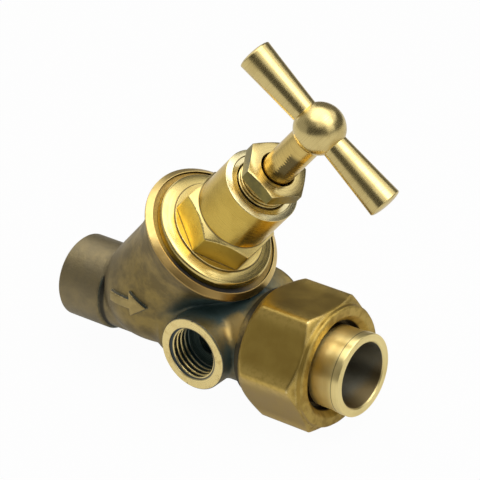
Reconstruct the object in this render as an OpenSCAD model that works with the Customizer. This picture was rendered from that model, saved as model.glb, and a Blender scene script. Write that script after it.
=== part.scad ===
// Oblique-seat stop valve for 15 mm copper pipe, with a tapped drain boss and a union outlet.
// The origin is the centre of the inlet mouth, +X runs with the flow and +Z is up.
// The bonnet axis crosses the pipe axis and leans towards the outlet in the XZ plane.
// Heights named "level" are measured along the bonnet axis from that crossing.

/* [Pipe run] */
// Bore of both capillary sockets, for a 15 mm pipe
pipe_bore_d = 15.1; // [14.6:0.1:15.6]
// Depth of the inlet socket
socket_depth = 11; // [8:0.5:12]
// Outside diameter of the inlet socket
socket_d = 19.5; // [18.5:0.1:21]
// Length of the inlet socket's collar
socket_len = 12; // [11:0.5:13]
// Diameter of the body between the inlet socket and the barrel
neck_d = 18; // [17:0.1:19]
// Bore of the waterway
way_d = 13.5; // [12:0.1:14]
// Distance from the inlet mouth to the bonnet axis
cross_x = 19; // [18:0.5:22]
// Angle between the bonnet axis and the pipe axis
bonnet_angle = 48.5; // [46:0.5:52]
// Outside diameter of the body on the outlet side
run_d = 21.6; // [20:0.1:23]
// Distance from the bonnet axis to where the neck starts to widen to the outlet side
run_start = 8; // [6:0.5:10]
// Length over which it widens
run_taper = 4; // [2:0.5:6]

/* [Seat and barrel] */
// Level of the seat face
seat_level = 2.5; // [2:0.1:3.5]
// Bore of the seat
seat_bore_d = 11.5; // [10:0.1:12.5]
// Width of the seat land
seat_land_w = 1.25; // [0.8:0.05:1.6]
// Height of the seat land above the chamber floor
seat_h = 1.2; // [0.6:0.1:1.6]
// Thickness of the web that carries the seat
web_t = 2.8; // [2:0.1:3.4]
// Bore of the chamber above the seat
chamber_d = 19.2; // [18.4:0.1:20]
// Outside diameter of the barrel
barrel_d = 25.4; // [24.6:0.1:27]
// Level of the centre of the barrel's round bottom
barrel_level = 6; // [5:0.1:7]
// Level at which the barrel starts to widen to its rim
flare_level = 16; // [14:0.5:18]
// Outside diameter of the barrel's rim
rim_d = 33.4; // [32.6:0.1:36]
// Height of the rim's upright band
rim_band_h = 0.5; // [0.4:0.1:1]
// Level of the rim's outer edge
rim_level = 30.1; // [29:0.1:32]
// Diameter of the recess in the rim that holds the bonnet's gasket
recess_d = 30.6; // [30:0.1:31]
// Depth of that recess below the rim's outer edge
recess_depth = 0.7; // [0.4:0.1:1]
// Rise of the rim's sloping face from its outer to its inner edge
rim_slope_h = 0.9; // [0.4:0.1:1.4]
// Width of the rim's sloping face
rim_slope_w = 1.2; // [0.8:0.1:1.4]

/* [Drain bosses] */
// Distance from the inlet mouth to the drain axis
drain_x = 43.4; // [42:0.1:45]
// Diameter of both bosses
boss_d = 17.4; // [16.5:0.1:18]
// Distance from the pipe axis to the drain's machined face
drain_face = 14.3; // [13.5:0.1:17]
// Distance from the pipe axis to the end of the blind boss, left as cast
blind_face = 16; // [15:0.1:18]
// Edge radius of the blind boss
blind_round = 0.8; // [0.3:0.1:1.5]
// Major diameter of the drain thread, G1/4
drain_thread_d = 13.16; // [12:0.02:13.4]
// Depth of the drain thread
drain_thread_depth = 6.3; // [5:0.1:6.5]
// Width of the chamfer at the drain's mouth
drain_chamfer = 0.35; // [0.2:0.05:0.6]
// Bore from the drain thread into the waterway
drain_way_d = 6; // [4:0.1:8]

/* [Bonnet] */
// Major diameter of the thread between bonnet and body
bonnet_thread_d = 24; // [23:0.1:24.6]
// Length of that thread below the gasket
bonnet_thread_len = 6; // [5:0.1:6.5]
// Thickness of the gasket under the bonnet's flange
bonnet_gasket_t = 1; // [0.8:0.1:1.4]
// Diameter of the bonnet's round flange
flange_d = 28; // [27.4:0.1:28.6]
// Height of the flange's upright edge above the gasket
flange_edge_h = 1.3; // [1:0.1:2]
// Height of the crown from the upright edge to its top
crown_h = 1.3; // [0.8:0.1:2]
// Diameter of the crown's flat top
crown_d = 24.4; // [23.4:0.1:25.4]
// Height of the round pad on the crown, from which the hexagon rises
pad_h = 0.4; // [0.2:0.1:1]
// Width across the flats of the bonnet's hexagon
bonnet_af = 19; // [18.4:0.1:20.4]
// Height of the hexagon at its corners
bonnet_hex_h = 5.3; // [4:0.1:6.5]
// Diameter of the neck above the hexagon
neck_top_d = 17.9; // [17.2:0.1:18.3]
// Level of the top of the neck
neck_top_level = 52.4; // [51.5:0.1:54]
// Turn of the bonnet's hexagon about the bonnet axis
bonnet_turn = 37.8; // [0:0.1:60]

/* [Gland] */
// Major diameter of the gland thread, M12
gland_thread_d = 12; // [11.8:0.05:12.4]
// Depth of the packing chamber below the gland thread
packing_depth = 5.4; // [4.5:0.1:6]
// Thickness of the brass ring between the packing and the gland nut
gland_ring_t = 1.5; // [1:0.1:2]
// Level of the floor under the packing
packing_level = 42; // [41:0.1:42.5]
// Thickness of that floor
packing_floor_t = 1.5; // [1:0.1:2]
// Width across the flats of the gland nut
gland_af = 13.4; // [13:0.1:14]
// Level of the underside of the gland nut's hexagon
gland_hex_level = 55.5; // [54.4:0.1:56.4]
// Height of the gland nut's hexagon
gland_hex_h = 3.5; // [3:0.1:5]
// Turn of the gland nut about the bonnet axis
gland_turn = 5.7; // [0:0.1:60]

/* [Spindle] */
// Diameter of the spindle's plain shaft
spindle_d = 7.5; // [7:0.05:7.8]
// Major diameter of the spindle's lifting thread
lift_thread_d = 9.6; // [9:0.1:10]
// Length of the lifting thread
lift_thread_len = 15; // [13:0.5:17]
// Lift of the valve disc from closed to open, as shown
lift = 7; // [5:0.5:8]
// Diameter of the collar that stops the spindle under the bonnet
collar_d = 10.4; // [10.2:0.1:11.5]
// Thickness of that collar
collar_t = 1.4; // [1:0.1:2]
// Diameter of the foot that carries the disc holder
foot_d = 6; // [5.6:0.1:6.6]
// Length of the foot inside the disc holder
foot_len = 5; // [4.5:0.1:6]
// Side of the square that drives the handle
square_w = 5; // [4.6:0.1:5.2]

/* [Valve disc] */
// Diameter of the disc holder's plate
plate_d = 15.8; // [15:0.1:17]
// Thickness of that plate
plate_t = 2; // [1.5:0.1:2.5]
// Outside diameter of the disc holder's hub
hub_d = 10.4; // [9.8:0.1:11]
// Diameter of the rubber washer
washer_d = 14.5; // [14.2:0.1:15]
// Thickness of the rubber washer
washer_t = 2.5; // [2:0.1:3]
// Diameter of the stud through the washer
stud_d = 4; // [3:0.1:5]
// Width across the flats of the nut that holds the washer
disc_nut_af = 7; // [6.4:0.1:8]
// Height of that nut
disc_nut_h = 2.4; // [1.8:0.1:3]
// Thickness of the retaining ring
snap_t = 0.8; // [0.5:0.1:1]

/* [Handle] */
// Level of the centre of the handle's ball
ball_level = 76.2; // [74:0.1:80]
// Diameter of the ball
ball_d = 11.4; // [11:0.1:13]
// Length of the handle from tip to tip
handle_len = 43; // [38:0.5:60]
// Diameter of an arm where it leaves the ball
arm_root_d = 5.5; // [4.5:0.1:6.5]
// Diameter of an arm at its tip
arm_tip_d = 7.8; // [6.5:0.1:9]
// Height of the dome on an arm's tip
tip_dome = 0.8; // [0.3:0.1:1.2]
// Turn of the handle about the bonnet axis
handle_turn = 4.2; // [-90:0.1:90]

/* [Union] */
// Major diameter of the union thread
union_thread_d = 24; // [23.5:0.1:24.6]
// Distance from the inlet mouth to the end of the threaded spigot
spigot_x = 65.1; // [64:0.1:67]
// Width across the flats of the union nut
union_af = 28; // [27.4:0.1:30]
// Length of the union nut
union_len = 17.4; // [16.4:0.1:19]
// Length over which the nut's corners are turned off at the back
union_back_cut = 2.3; // [1:0.1:3]
// Length from the nut's front face to where its corners start
union_front_cut = 2.6; // [2:0.1:3.5]
// Length of the round collar at the nut's front
union_collar_h = 1.2; // [0.8:0.1:1.6]
// Thickness of the union nut's front lip
lip_t = 4; // [3:0.1:4.6]
// Diameter of the hole in that lip
lip_hole_d = 20.5; // [20:0.1:20.8]
// Width of the chamfer at that hole's front edge
lip_chamfer = 1.5; // [0.5:0.1:1.8]
// Turn of the union nut about the pipe axis
union_turn = -2.1; // [-30:0.1:30]
// Thickness of the flat union gasket
union_gasket_t = 1.5; // [1:0.1:2]
// Thickness of the tail's collar
tail_collar_t = 2.8; // [2:0.1:3.5]
// Diameter of the tail behind its end
tail_d = 18.6; // [18.2:0.1:19]
// Diameter of the tail at its end
tail_end_d = 19.1; // [18.8:0.1:19.4]
// Length of the tail's wider end
tail_end_len = 1.2; // [0.8:0.1:4]
// Length of the tail from the nut's front face to its end
tail_out = 6.3; // [5.5:0.1:9]
// Width of the shoulder behind the union nut
shoulder_w = 1.6; // [1:0.1:2.5]
// Diameter of that shoulder
shoulder_d = 24.8; // [24:0.1:26]

/* [Fits] */
// Radial clearance in a screwed thread, drawn as a plain cylinder
thread_gap = 0.08; // [0.04:0.01:0.12]
// Radial clearance of a turning shaft
run_gap = 0.06; // [0.03:0.01:0.1]
// Radial clearance of parts that are only dropped in
loose_gap = 0.1; // [0.05:0.01:0.2]
// End gap between faces that meet when the valve is worked
face_gap = 0.05; // [0.03:0.01:0.2]

/* [Hidden] */
$fn = 96;
eps = 0.01;
far = 200;

brass_cast = "#8f7d4c";
brass_bright = "#d8b45a";
brass_nut = "#9a8a55";
fibre = "#2b2a28";
rubber = "#1f1f1f";
steel = "#b9bcc0";

// Levels up the bonnet axis
floor_level = seat_level - seat_h;
web_level = floor_level - web_t;
recess_level = rim_level - recess_depth;
rim_inner_level = rim_level + rim_slope_h;
bonnet_foot_level = recess_level - bonnet_thread_len;
thread_bore_level = bonnet_foot_level - 0.6;
flange_level = recess_level + bonnet_gasket_t;
crown_level = flange_level + flange_edge_h;
crown_top_level = crown_level + crown_h;
pad_level = crown_top_level + pad_h;
hex_top_level = pad_level + bonnet_hex_h;
bonnet_corner_r = bonnet_af / 2 / cos(30);
packing_top_level = packing_level + packing_depth;
packing_r = gland_thread_d / 2 - 0.45;
packing_rings = 3;
ring_t = packing_depth / packing_rings;
nose_level = packing_top_level + gland_ring_t;
gland_top_level = gland_hex_level + gland_hex_h;
washer_level = seat_level + lift + face_gap;
plate_level = washer_level + washer_t;
hub_floor_level = plate_level + plate_t + 0.9;
foot_level = hub_floor_level + face_gap;
hub_top_level = foot_level + foot_len;
collar_top_level = bonnet_foot_level - 2 * face_gap;
snap_level = foot_level + 0.35 * foot_len;
lift_top_level = collar_top_level + lift_thread_len;
ball_r = ball_d / 2;
spindle_r = spindle_d / 2;
shaft_top_level = ball_level - sqrt(ball_r * ball_r - spindle_r * spindle_r) + 0.7;
square_top_level = ball_level + 0.25 * ball_d;

// Places along the pipe axis
gasket_x = spigot_x;
collar_x = spigot_x + union_gasket_t;
lip_x = collar_x + tail_collar_t;
nut_front_x = lip_x + lip_t;
nut_back_x = nut_front_x - union_len;
tail_end_x = nut_front_x + tail_out;
shoulder_x = nut_back_x - 0.5 - shoulder_w;

// Points of an arc, from angle a0 to a1
function arc(c, r, a0, a1, n = 12) =
    [for (i = [0:n]) c + r * [cos(a0 + (a1 - a0) * i / n), sin(a0 + (a1 - a0) * i / n)]];

// Puts its children on the bonnet axis, with +Z along it and 0 at the pipe axis
module on_bonnet_axis() {
    translate([cross_x, 0, 0])
        rotate([0, 90 - bonnet_angle, 0])
            children();
}

// Puts its children on the pipe axis, with +Z along +X
module on_pipe_axis(x = 0) {
    translate([x, 0, 0])
        rotate([90, 0, 90])
            children();
}

// Puts its children on the axis of the bosses, with +Z away from the pipe on one side
module on_boss_axis(side = -1) {
    translate([drain_x, 0, 0])
        rotate([side < 0 ? 90 : -90, 0, 0])
            children();
}

module ring(outer_r, inner_r, h) {
    difference() {
        cylinder(r = outer_r, h = h);
        translate([0, 0, -1])
            cylinder(r = inner_r, h = h + 2);
    }
}

// A hexagon whose corners are turned off at both ends
module turned_hexagon(af, h, top_cut, bottom_cut) {
    corner = af / 2 / cos(30);
    turned_r = af / 2 - 0.2;
    intersection() {
        cylinder(r = corner, h = h, $fn = 6);
        rotate_extrude()
            polygon([[0, 0],
                     [turned_r, 0],
                     [corner, bottom_cut],
                     [corner, h - top_cut],
                     [turned_r, h],
                     [0, h]]);
    }
}

// The space on the far side of a plane across the bonnet axis
module above_level(level) {
    on_bonnet_axis()
        translate([-far / 2, -far / 2, level])
            cube([far, far, far]);
}

module below_level(level) {
    on_bonnet_axis()
        translate([-far / 2, -far / 2, level - far])
            cube([far, far, far]);
}

// Outside of the barrel: round bottom, straight wall, one concave flare and the rim
module barrel_outside() {
    r = barrel_d / 2;
    rim_r = rim_d / 2;
    flare_w = rim_r - r;
    flare_h = rim_level - rim_band_h - flare_level;
    flare_r = (flare_w * flare_w + flare_h * flare_h) / (2 * flare_w);
    on_bonnet_axis()
        rotate_extrude()
            polygon(concat(
                [[0, barrel_level - r]],
                arc([0, barrel_level], r, -90, 0, 16),
                arc([r + flare_r, flare_level], flare_r, 180, 180 - asin(flare_h / flare_r), 14),
                [[rim_r, rim_level - 0.2],
                 [rim_r - 0.15, rim_level],
                 [rim_r - rim_slope_w, rim_inner_level],
                 [0, rim_inner_level]]));
}

// Outside of the pipe run: socket collar, neck, outlet run, shoulder and threaded spigot
module run_outside() {
    socket_r = socket_d / 2;
    on_pipe_axis()
        rotate_extrude()
            polygon(concat(
                [[0, 0], [socket_r - 0.5, 0], [socket_r, 0.5]],
                arc([socket_r - 0.6, socket_len - 0.6], 0.6, 0, 90, 5),
                [[neck_d / 2, socket_len],
                 [neck_d / 2, cross_x + run_start],
                 [run_d / 2, cross_x + run_start + run_taper],
                 [run_d / 2, shoulder_x - 1],
                 [shoulder_d / 2, shoulder_x],
                 [shoulder_d / 2, shoulder_x + shoulder_w - 0.3],
                 [shoulder_d / 2 - 0.3, shoulder_x + shoulder_w],
                 [union_thread_d / 2 - 1.2, shoulder_x + shoulder_w],
                 [union_thread_d / 2 - 1.2, shoulder_x + shoulder_w + 1],
                 [union_thread_d / 2 - thread_gap, shoulder_x + shoulder_w + 2],
                 [union_thread_d / 2 - thread_gap, spigot_x - 1],
                 [union_thread_d / 2 - 1, spigot_x],
                 [0, spigot_x]]));
}

// The tapped boss, faced and sharp edged
module drain_boss() {
    on_boss_axis(-1)
        rotate_extrude()
            polygon([[0, 0],
                     [boss_d / 2, 0],
                     [boss_d / 2, drain_face - 0.3],
                     [boss_d / 2 - 0.3, drain_face],
                     [0, drain_face]]);
}

// The blind boss on the other side, left as cast
module blind_boss() {
    on_boss_axis(1)
        rotate_extrude()
            polygon(concat([[0, 0], [boss_d / 2, 0]],
                           arc([boss_d / 2 - blind_round, blind_face - blind_round],
                               blind_round, 0, 90, 6),
                           [[0, blind_face]]));
}

// Waterway from the inlet mouth to the underside of the seat
module inlet_way() {
    on_pipe_axis(-1)
        cylinder(d = pipe_bore_d, h = socket_depth + 1);
    intersection() {
        on_pipe_axis(socket_depth - eps)
            cylinder(d = way_d, h = cross_x);
        below_level(web_level);
    }
    on_bonnet_axis()
        translate([0, 0, web_level - 1])
            cylinder(d = seat_bore_d, h = seat_level - web_level + 2);
}

// Chamber above the seat, the bonnet's bore and recess, and the way to the outlet
module outlet_way() {
    land_r = seat_bore_d / 2 + seat_land_w;
    on_bonnet_axis() {
        rotate_extrude()
            polygon([[land_r, floor_level],
                     [chamber_d / 2, floor_level],
                     [chamber_d / 2, thread_bore_level],
                     [bonnet_thread_d / 2, thread_bore_level],
                     [bonnet_thread_d / 2, recess_level],
                     [recess_d / 2, recess_level],
                     [recess_d / 2, rim_inner_level + 1],
                     [0, rim_inner_level + 1],
                     [0, seat_level],
                     [land_r - 0.3, seat_level],
                     [land_r, seat_level - 0.3]]);
    }
    intersection() {
        on_pipe_axis(cross_x)
            cylinder(d = way_d, h = spigot_x);
        difference() {
            above_level(floor_level);
            on_bonnet_axis()
                translate([0, 0, floor_level - 1])
                    cylinder(r = land_r, h = seat_h + 1);
        }
    }
}

// Tapped hole of the drain and the smaller bore behind it
module drain_way() {
    on_boss_axis(-1) {
        translate([0, 0, drain_face - drain_thread_depth])
            cylinder(d = drain_thread_d, h = drain_thread_depth + 1);
        translate([0, 0, drain_face - drain_chamfer])
            cylinder(d1 = drain_thread_d, d2 = drain_thread_d + 4 * drain_chamfer,
                     h = 2 * drain_chamfer);
        cylinder(d = drain_way_d, h = drain_face);
    }
}

module body() {
    color(brass_cast)
        difference() {
            union() {
                run_outside();
                barrel_outside();
                drain_boss();
                blind_boss();
            }
            inlet_way();
            outlet_way();
            drain_way();
        }
}

module bonnet_gasket() {
    color(fibre)
        on_bonnet_axis()
            translate([0, 0, recess_level])
                ring(recess_d / 2 - loose_gap, bonnet_thread_d / 2, bonnet_gasket_t);
}

// Bonnet outside below the hexagon: skirt with its thread, flange, crown and pad
module bonnet_lower() {
    thread_r = bonnet_thread_d / 2 - thread_gap;
    flange_r = flange_d / 2;
    crown_r = crown_d / 2;
    pad_r = bonnet_corner_r + 0.1;
    rotate_extrude()
        polygon(concat(
            [[0, bonnet_foot_level],
             [thread_r - 0.8, bonnet_foot_level],
             [thread_r, bonnet_foot_level + 0.8],
             [thread_r, flange_level],
             [flange_r, flange_level],
             [flange_r, crown_level]],
            [for (i = [1:10]) [crown_r + (flange_r - crown_r) * cos(9 * i),
                               crown_level + crown_h * sin(9 * i)]],
            [[pad_r, crown_top_level],
             [pad_r, pad_level],
             [0, pad_level]]));
}

// Bonnet outside above the pad: hexagon and neck
module bonnet_upper() {
    corner = bonnet_corner_r;
    neck_r = neck_top_d / 2;
    cone_level = hex_top_level + 1.6;
    union() {
        intersection() {
            rotate([0, 0, bonnet_turn])
                translate([0, 0, pad_level])
                    cylinder(r = corner, h = bonnet_hex_h + 4, $fn = 6);
            rotate_extrude()
                polygon([[0, pad_level],
                         [corner, pad_level],
                         [corner, hex_top_level],
                         [neck_r - 0.2, cone_level],
                         [0, cone_level]]);
        }
        rotate_extrude()
            polygon([[0, crown_top_level],
                     [neck_r, crown_top_level],
                     [neck_r, neck_top_level - 0.4],
                     [neck_r - 1.4, neck_top_level],
                     [0, neck_top_level]]);
    }
}

module bonnet_inside() {
    lift_r = lift_thread_d / 2 + thread_gap;
    rotate_extrude()
        polygon([[0, bonnet_foot_level - 1],
                 [lift_r, bonnet_foot_level - 1],
                 [lift_r, packing_level - packing_floor_t],
                 [spindle_r + run_gap, packing_level - packing_floor_t],
                 [spindle_r + run_gap, packing_level],
                 [packing_r, packing_level],
                 [packing_r, packing_top_level - 0.6],
                 [gland_thread_d / 2, packing_top_level - 0.2],
                 [gland_thread_d / 2, neck_top_level + 1],
                 [0, neck_top_level + 1]]);
}

module bonnet() {
    color(brass_bright)
        on_bonnet_axis()
            difference() {
                union() {
                    bonnet_lower();
                    bonnet_upper();
                }
                bonnet_inside();
            }
}

// One ring of the spindle packing, numbered from the bottom
module packing_ring(i) {
    color(fibre)
        on_bonnet_axis()
            translate([0, 0, packing_level + i * ring_t])
                ring(packing_r - face_gap, spindle_r + run_gap, ring_t);
}

module packing_ring_lower() {
    packing_ring(0);
}

module packing_ring_middle() {
    packing_ring(1);
}

module packing_ring_upper() {
    packing_ring(2);
}

module gland_ring() {
    color(brass_bright)
        on_bonnet_axis()
            translate([0, 0, packing_top_level])
                ring(packing_r - face_gap, spindle_r + run_gap, gland_ring_t);
}

module gland_nut() {
    thread_r = gland_thread_d / 2 - thread_gap;
    hole_r = spindle_r + 2.5 * loose_gap;
    color(brass_bright)
        on_bonnet_axis()
            difference() {
                union() {
                    rotate_extrude()
                        polygon([[0, nose_level],
                                 [thread_r - 0.5, nose_level],
                                 [thread_r, nose_level + 0.5],
                                 [thread_r, gland_hex_level - 0.9],
                                 [thread_r - 0.6, gland_hex_level - 0.5],
                                 [thread_r - 0.6, gland_hex_level + 1],
                                 [0, gland_hex_level + 1]]);
                    rotate([0, 0, gland_turn])
                        translate([0, 0, gland_hex_level])
                            turned_hexagon(gland_af, gland_hex_h, 0.5, 0.4);
                }
                translate([0, 0, nose_level - 1])
                    cylinder(r = hole_r, h = gland_top_level - nose_level + 2);
            }
}

// Turned spindle: foot with its groove, stop collar, lifting thread, shaft and square
module spindle() {
    foot_r = foot_d / 2;
    lift_r = lift_thread_d / 2;
    collar_low = collar_top_level - collar_t;
    color(brass_bright)
        on_bonnet_axis()
            union() {
                rotate_extrude()
                    polygon([[0, foot_level],
                             [foot_r - 0.4, foot_level],
                             [foot_r, foot_level + 0.4],
                             [foot_r, snap_level - loose_gap],
                             [foot_r - 0.7, snap_level - loose_gap],
                             [foot_r - 0.7, snap_level + snap_t + loose_gap],
                             [foot_r, snap_level + snap_t + loose_gap],
                             [foot_r, collar_low],
                             [collar_d / 2, collar_low],
                             [collar_d / 2, collar_top_level],
                             [lift_r - 0.8, collar_top_level],
                             [lift_r - 0.8, collar_top_level + 1],
                             [lift_r, collar_top_level + 1.8],
                             [lift_r, lift_top_level - 0.8],
                             [spindle_r, lift_top_level],
                             [spindle_r, shaft_top_level],
                             [0, shaft_top_level]]);
                rotate([0, 0, handle_turn])
                    translate([-square_w / 2, -square_w / 2, shaft_top_level - 1])
                        cube([square_w, square_w, square_top_level - shaft_top_level + 1]);
            }
}

// Outline of one arm of the handle, from inside the ball to its domed tip
function arm_outline() =
    let (root = arm_root_d / 2, tip = arm_tip_d / 2, reach = handle_len / 2)
    concat([[0, 0]],
           [for (i = [0:8]) [root + (tip - root) * pow(i / 8, 1.15),
                             (reach - tip_dome) * i / 8]],
           [for (i = [1:6]) [tip * cos(15 * i), reach - tip_dome + tip_dome * sin(15 * i)]]);

module handle() {
    color(brass_bright)
        on_bonnet_axis()
            translate([0, 0, ball_level])
                rotate([0, 0, handle_turn])
                    difference() {
                        union() {
                            sphere(d = ball_d);
                            for (side = [-1, 1])
                                rotate([0, side * 90, 0])
                                    rotate_extrude()
                                        polygon(arm_outline());
                        }
                        translate([0, 0, shaft_top_level - ball_level - ball_d])
                            cylinder(r = spindle_r + 0.02, h = ball_d);
                        translate([-square_w / 2 - 0.02, -square_w / 2 - 0.02, -ball_d])
                            cube([square_w + 0.04, square_w + 0.04,
                                  square_top_level - ball_level + ball_d]);
                    }
}

module disc_holder() {
    color(brass_bright)
        on_bonnet_axis()
            difference() {
                rotate_extrude()
                    polygon([[0, washer_level - disc_nut_h - 0.6],
                             [stud_d / 2 - 0.4, washer_level - disc_nut_h - 0.6],
                             [stud_d / 2, washer_level - disc_nut_h - 0.2],
                             [stud_d / 2, plate_level],
                             [plate_d / 2, plate_level],
                             [plate_d / 2, plate_level + plate_t - 0.4],
                             [plate_d / 2 - 0.4, plate_level + plate_t],
                             [hub_d / 2, plate_level + plate_t],
                             [hub_d / 2, hub_top_level - 0.3],
                             [hub_d / 2 - 0.3, hub_top_level],
                             [0, hub_top_level]]);
                rotate_extrude()
                    polygon([[0, hub_floor_level],
                             [foot_d / 2 + run_gap, hub_floor_level],
                             [foot_d / 2 + run_gap, snap_level],
                             [foot_d / 2 + 0.7, snap_level],
                             [foot_d / 2 + 0.7, snap_level + snap_t],
                             [foot_d / 2 + run_gap, snap_level + snap_t],
                             [foot_d / 2 + run_gap, hub_top_level + 1],
                             [0, hub_top_level + 1]]);
            }
}

module retaining_ring() {
    color(steel)
        on_bonnet_axis()
            translate([0, 0, snap_level])
                ring(foot_d / 2 + 0.6, foot_d / 2 - 0.6, snap_t);
}

module valve_washer() {
    color(rubber)
        on_bonnet_axis()
            translate([0, 0, washer_level])
                ring(washer_d / 2, stud_d / 2, washer_t);
}

module disc_nut() {
    color(brass_bright)
        on_bonnet_axis()
            translate([0, 0, washer_level - disc_nut_h])
                difference() {
                    turned_hexagon(disc_nut_af, disc_nut_h, 0.3, 0.3);
                    translate([0, 0, -1])
                        cylinder(d = stud_d, h = disc_nut_h + 2);
                }
}

// Hexagon nut with its corners turned off at the back and a round collar at the front
module union_nut() {
    corner = union_af / 2 / cos(30);
    collar_r = union_af / 2 - 0.05;
    color(brass_nut)
        on_pipe_axis(nut_back_x)
            difference() {
                intersection() {
                    rotate([0, 0, union_turn])
                        cylinder(r = corner, h = union_len, $fn = 6);
                    rotate_extrude()
                        polygon([[0, 0],
                                 [collar_r, 0],
                                 [corner, union_back_cut],
                                 [corner, union_len - union_front_cut],
                                 [collar_r, union_len - union_collar_h],
                                 [collar_r, union_len - 0.3],
                                 [collar_r - 0.3, union_len],
                                 [0, union_len]]);
                }
                rotate_extrude()
                    polygon([[0, -1],
                             [union_thread_d / 2 + 1, -1],
                             [union_thread_d / 2, 1],
                             [union_thread_d / 2, union_len - lip_t],
                             [lip_hole_d / 2, union_len - lip_t],
                             [lip_hole_d / 2, union_len - lip_chamfer],
                             [lip_hole_d / 2 + lip_chamfer, union_len],
                             [lip_hole_d / 2 + lip_chamfer, union_len + 1],
                             [0, union_len + 1]]);
            }
}

module union_tail() {
    collar_r = union_thread_d / 2 - 0.9;
    end_r = tail_end_d / 2;
    end_x = tail_end_x - collar_x;
    color(brass_bright)
        on_pipe_axis(collar_x)
            difference() {
                rotate_extrude()
                    polygon([[0, 0],
                             [collar_r, 0],
                             [collar_r, tail_collar_t],
                             [tail_d / 2, tail_collar_t],
                             [tail_d / 2, end_x - tail_end_len - 0.6],
                             [end_r, end_x - tail_end_len],
                             [end_r, end_x - 0.15],
                             [end_r - 0.15, end_x],
                             [0, end_x]]);
                translate([0, 0, -1])
                    cylinder(d = way_d, h = far);
                translate([0, 0, end_x - socket_depth])
                    cylinder(d = pipe_bore_d, h = far);
            }
}

module union_gasket() {
    color(fibre)
        on_pipe_axis(gasket_x)
            ring(union_thread_d / 2 - 0.9, way_d / 2 + 0.5, union_gasket_t);
}

body();
bonnet();
bonnet_gasket();
packing_ring_lower();
packing_ring_middle();
packing_ring_upper();
gland_ring();
gland_nut();
spindle();
handle();
disc_holder();
retaining_ring();
valve_washer();
disc_nut();
union_nut();
union_tail();
union_gasket();
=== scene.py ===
import math

import bpy
import numpy as np
from mathutils import Matrix, Vector


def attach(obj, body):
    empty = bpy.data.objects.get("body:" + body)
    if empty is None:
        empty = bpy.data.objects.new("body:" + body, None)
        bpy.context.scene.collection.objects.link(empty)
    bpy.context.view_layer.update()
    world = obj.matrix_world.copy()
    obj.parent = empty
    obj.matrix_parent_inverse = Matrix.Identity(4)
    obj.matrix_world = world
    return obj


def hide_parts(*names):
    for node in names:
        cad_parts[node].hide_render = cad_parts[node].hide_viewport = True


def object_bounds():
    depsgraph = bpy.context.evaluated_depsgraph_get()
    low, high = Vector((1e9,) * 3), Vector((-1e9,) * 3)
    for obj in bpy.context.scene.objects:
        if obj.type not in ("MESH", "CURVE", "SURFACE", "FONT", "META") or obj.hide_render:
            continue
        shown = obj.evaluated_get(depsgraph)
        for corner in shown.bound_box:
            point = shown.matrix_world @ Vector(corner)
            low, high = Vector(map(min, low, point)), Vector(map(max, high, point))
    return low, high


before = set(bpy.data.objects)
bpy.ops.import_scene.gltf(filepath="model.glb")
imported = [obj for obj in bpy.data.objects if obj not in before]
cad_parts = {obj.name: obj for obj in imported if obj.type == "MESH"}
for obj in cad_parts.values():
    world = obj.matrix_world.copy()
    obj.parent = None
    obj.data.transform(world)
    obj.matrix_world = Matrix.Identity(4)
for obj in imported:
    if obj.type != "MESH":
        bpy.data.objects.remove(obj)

CAD_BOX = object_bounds()

# Lengths below are in millimetres, as in the part's source; MM turns them into metres.
MM = 0.001

CROSS_X = 19.0
BONNET_ANGLE = math.radians(48.5)
SEAT_LEVEL, LAND_R, SEAT_R, FLOOR_LEVEL, WEB_LEVEL = 2.5, 7.0, 5.75, 1.3, -1.5
BARREL_R, BARREL_LEVEL, FLARE_LEVEL, BAND_LEVEL = 12.7, 6.0, 16.0, 29.6
RIM_R, RIM_LEVEL, RIM_SLOPE_W, RIM_INNER_LEVEL = 16.7, 30.1, 1.2, 31.0
RECESS_R, RECESS_LEVEL, THREAD_R, THREAD_LEVEL, CHAMBER_R = 15.3, 29.4, 12.0, 22.8, 9.6
SOCKET_R, SOCKET_LEN, SOCKET_BORE_R, SOCKET_DEPTH = 9.75, 12.0, 7.55, 11.0
NECK_R, RUN_R, RUN_START, RUN_TAPER, WAY_R = 9.0, 10.8, 27.0, 4.0, 6.75
SHOULDER_X, SHOULDER_R, SHOULDER_W, SPIGOT_R, SPIGOT_X = 53.9, 12.4, 1.6, 11.92, 65.1
DRAIN_X, BOSS_R, DRAIN_FACE, BLIND_FACE, BLIND_ROUND = 43.4, 8.7, 14.3, 16.0, 0.8
DRAIN_THREAD_R, DRAIN_MINOR_R, DRAIN_DEPTH, DRAIN_WAY_R = 6.58, 5.72, 6.3, 3.0
DRAIN_CHAMFER, DRAIN_PITCH = 0.35, 1.337
GLAND_AF, GLAND_HEX_LEVEL, GLAND_HEX_H, GLAND_TURN = 13.4, 55.5, 3.5, 5.7
GLAND_R, GLAND_MINOR_R, GLAND_PITCH, GLAND_HOLE_R, NOSE_LEVEL = 5.92, 5.35, 1.0, 4.0, 48.9
FOOT_LEVEL, BONNET_THREAD_R, FLANGE_R, FLANGE_LEVEL, CROWN_LEVEL = 23.4, 11.92, 14.0, 30.4, 31.7
CROWN_TOP, PAD_R, PAD_LEVEL, BONNET_AF, BONNET_TURN = 33.0, 11.07, 33.4, 19.0, 37.8
HEX_TOP, CONE_LEVEL, NECK_TOP_R, NECK_TOP = 38.7, 40.3, 8.95, 52.4
LIFT_R, PACKING_FLOOR, PACKING_LEVEL, PACKING_R, PACKING_TOP = 4.88, 40.5, 42.0, 5.55, 47.4
SHAFT_R, BALL_LEVEL, ARM_TURN = 3.81, 76.2, 5.6
NUT_BACK_X, NUT_LEN, NUT_AF, NUT_TURN, NUT_COLLAR_R = 56.0, 17.4, 28.0, -2.1, 13.95
NUT_BACK_CUT, NUT_FRONT_CUT, NUT_COLLAR_H, NUT_LIP, NUT_HOLE_R = 2.3, 2.6, 1.2, 4.0, 10.25
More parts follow.
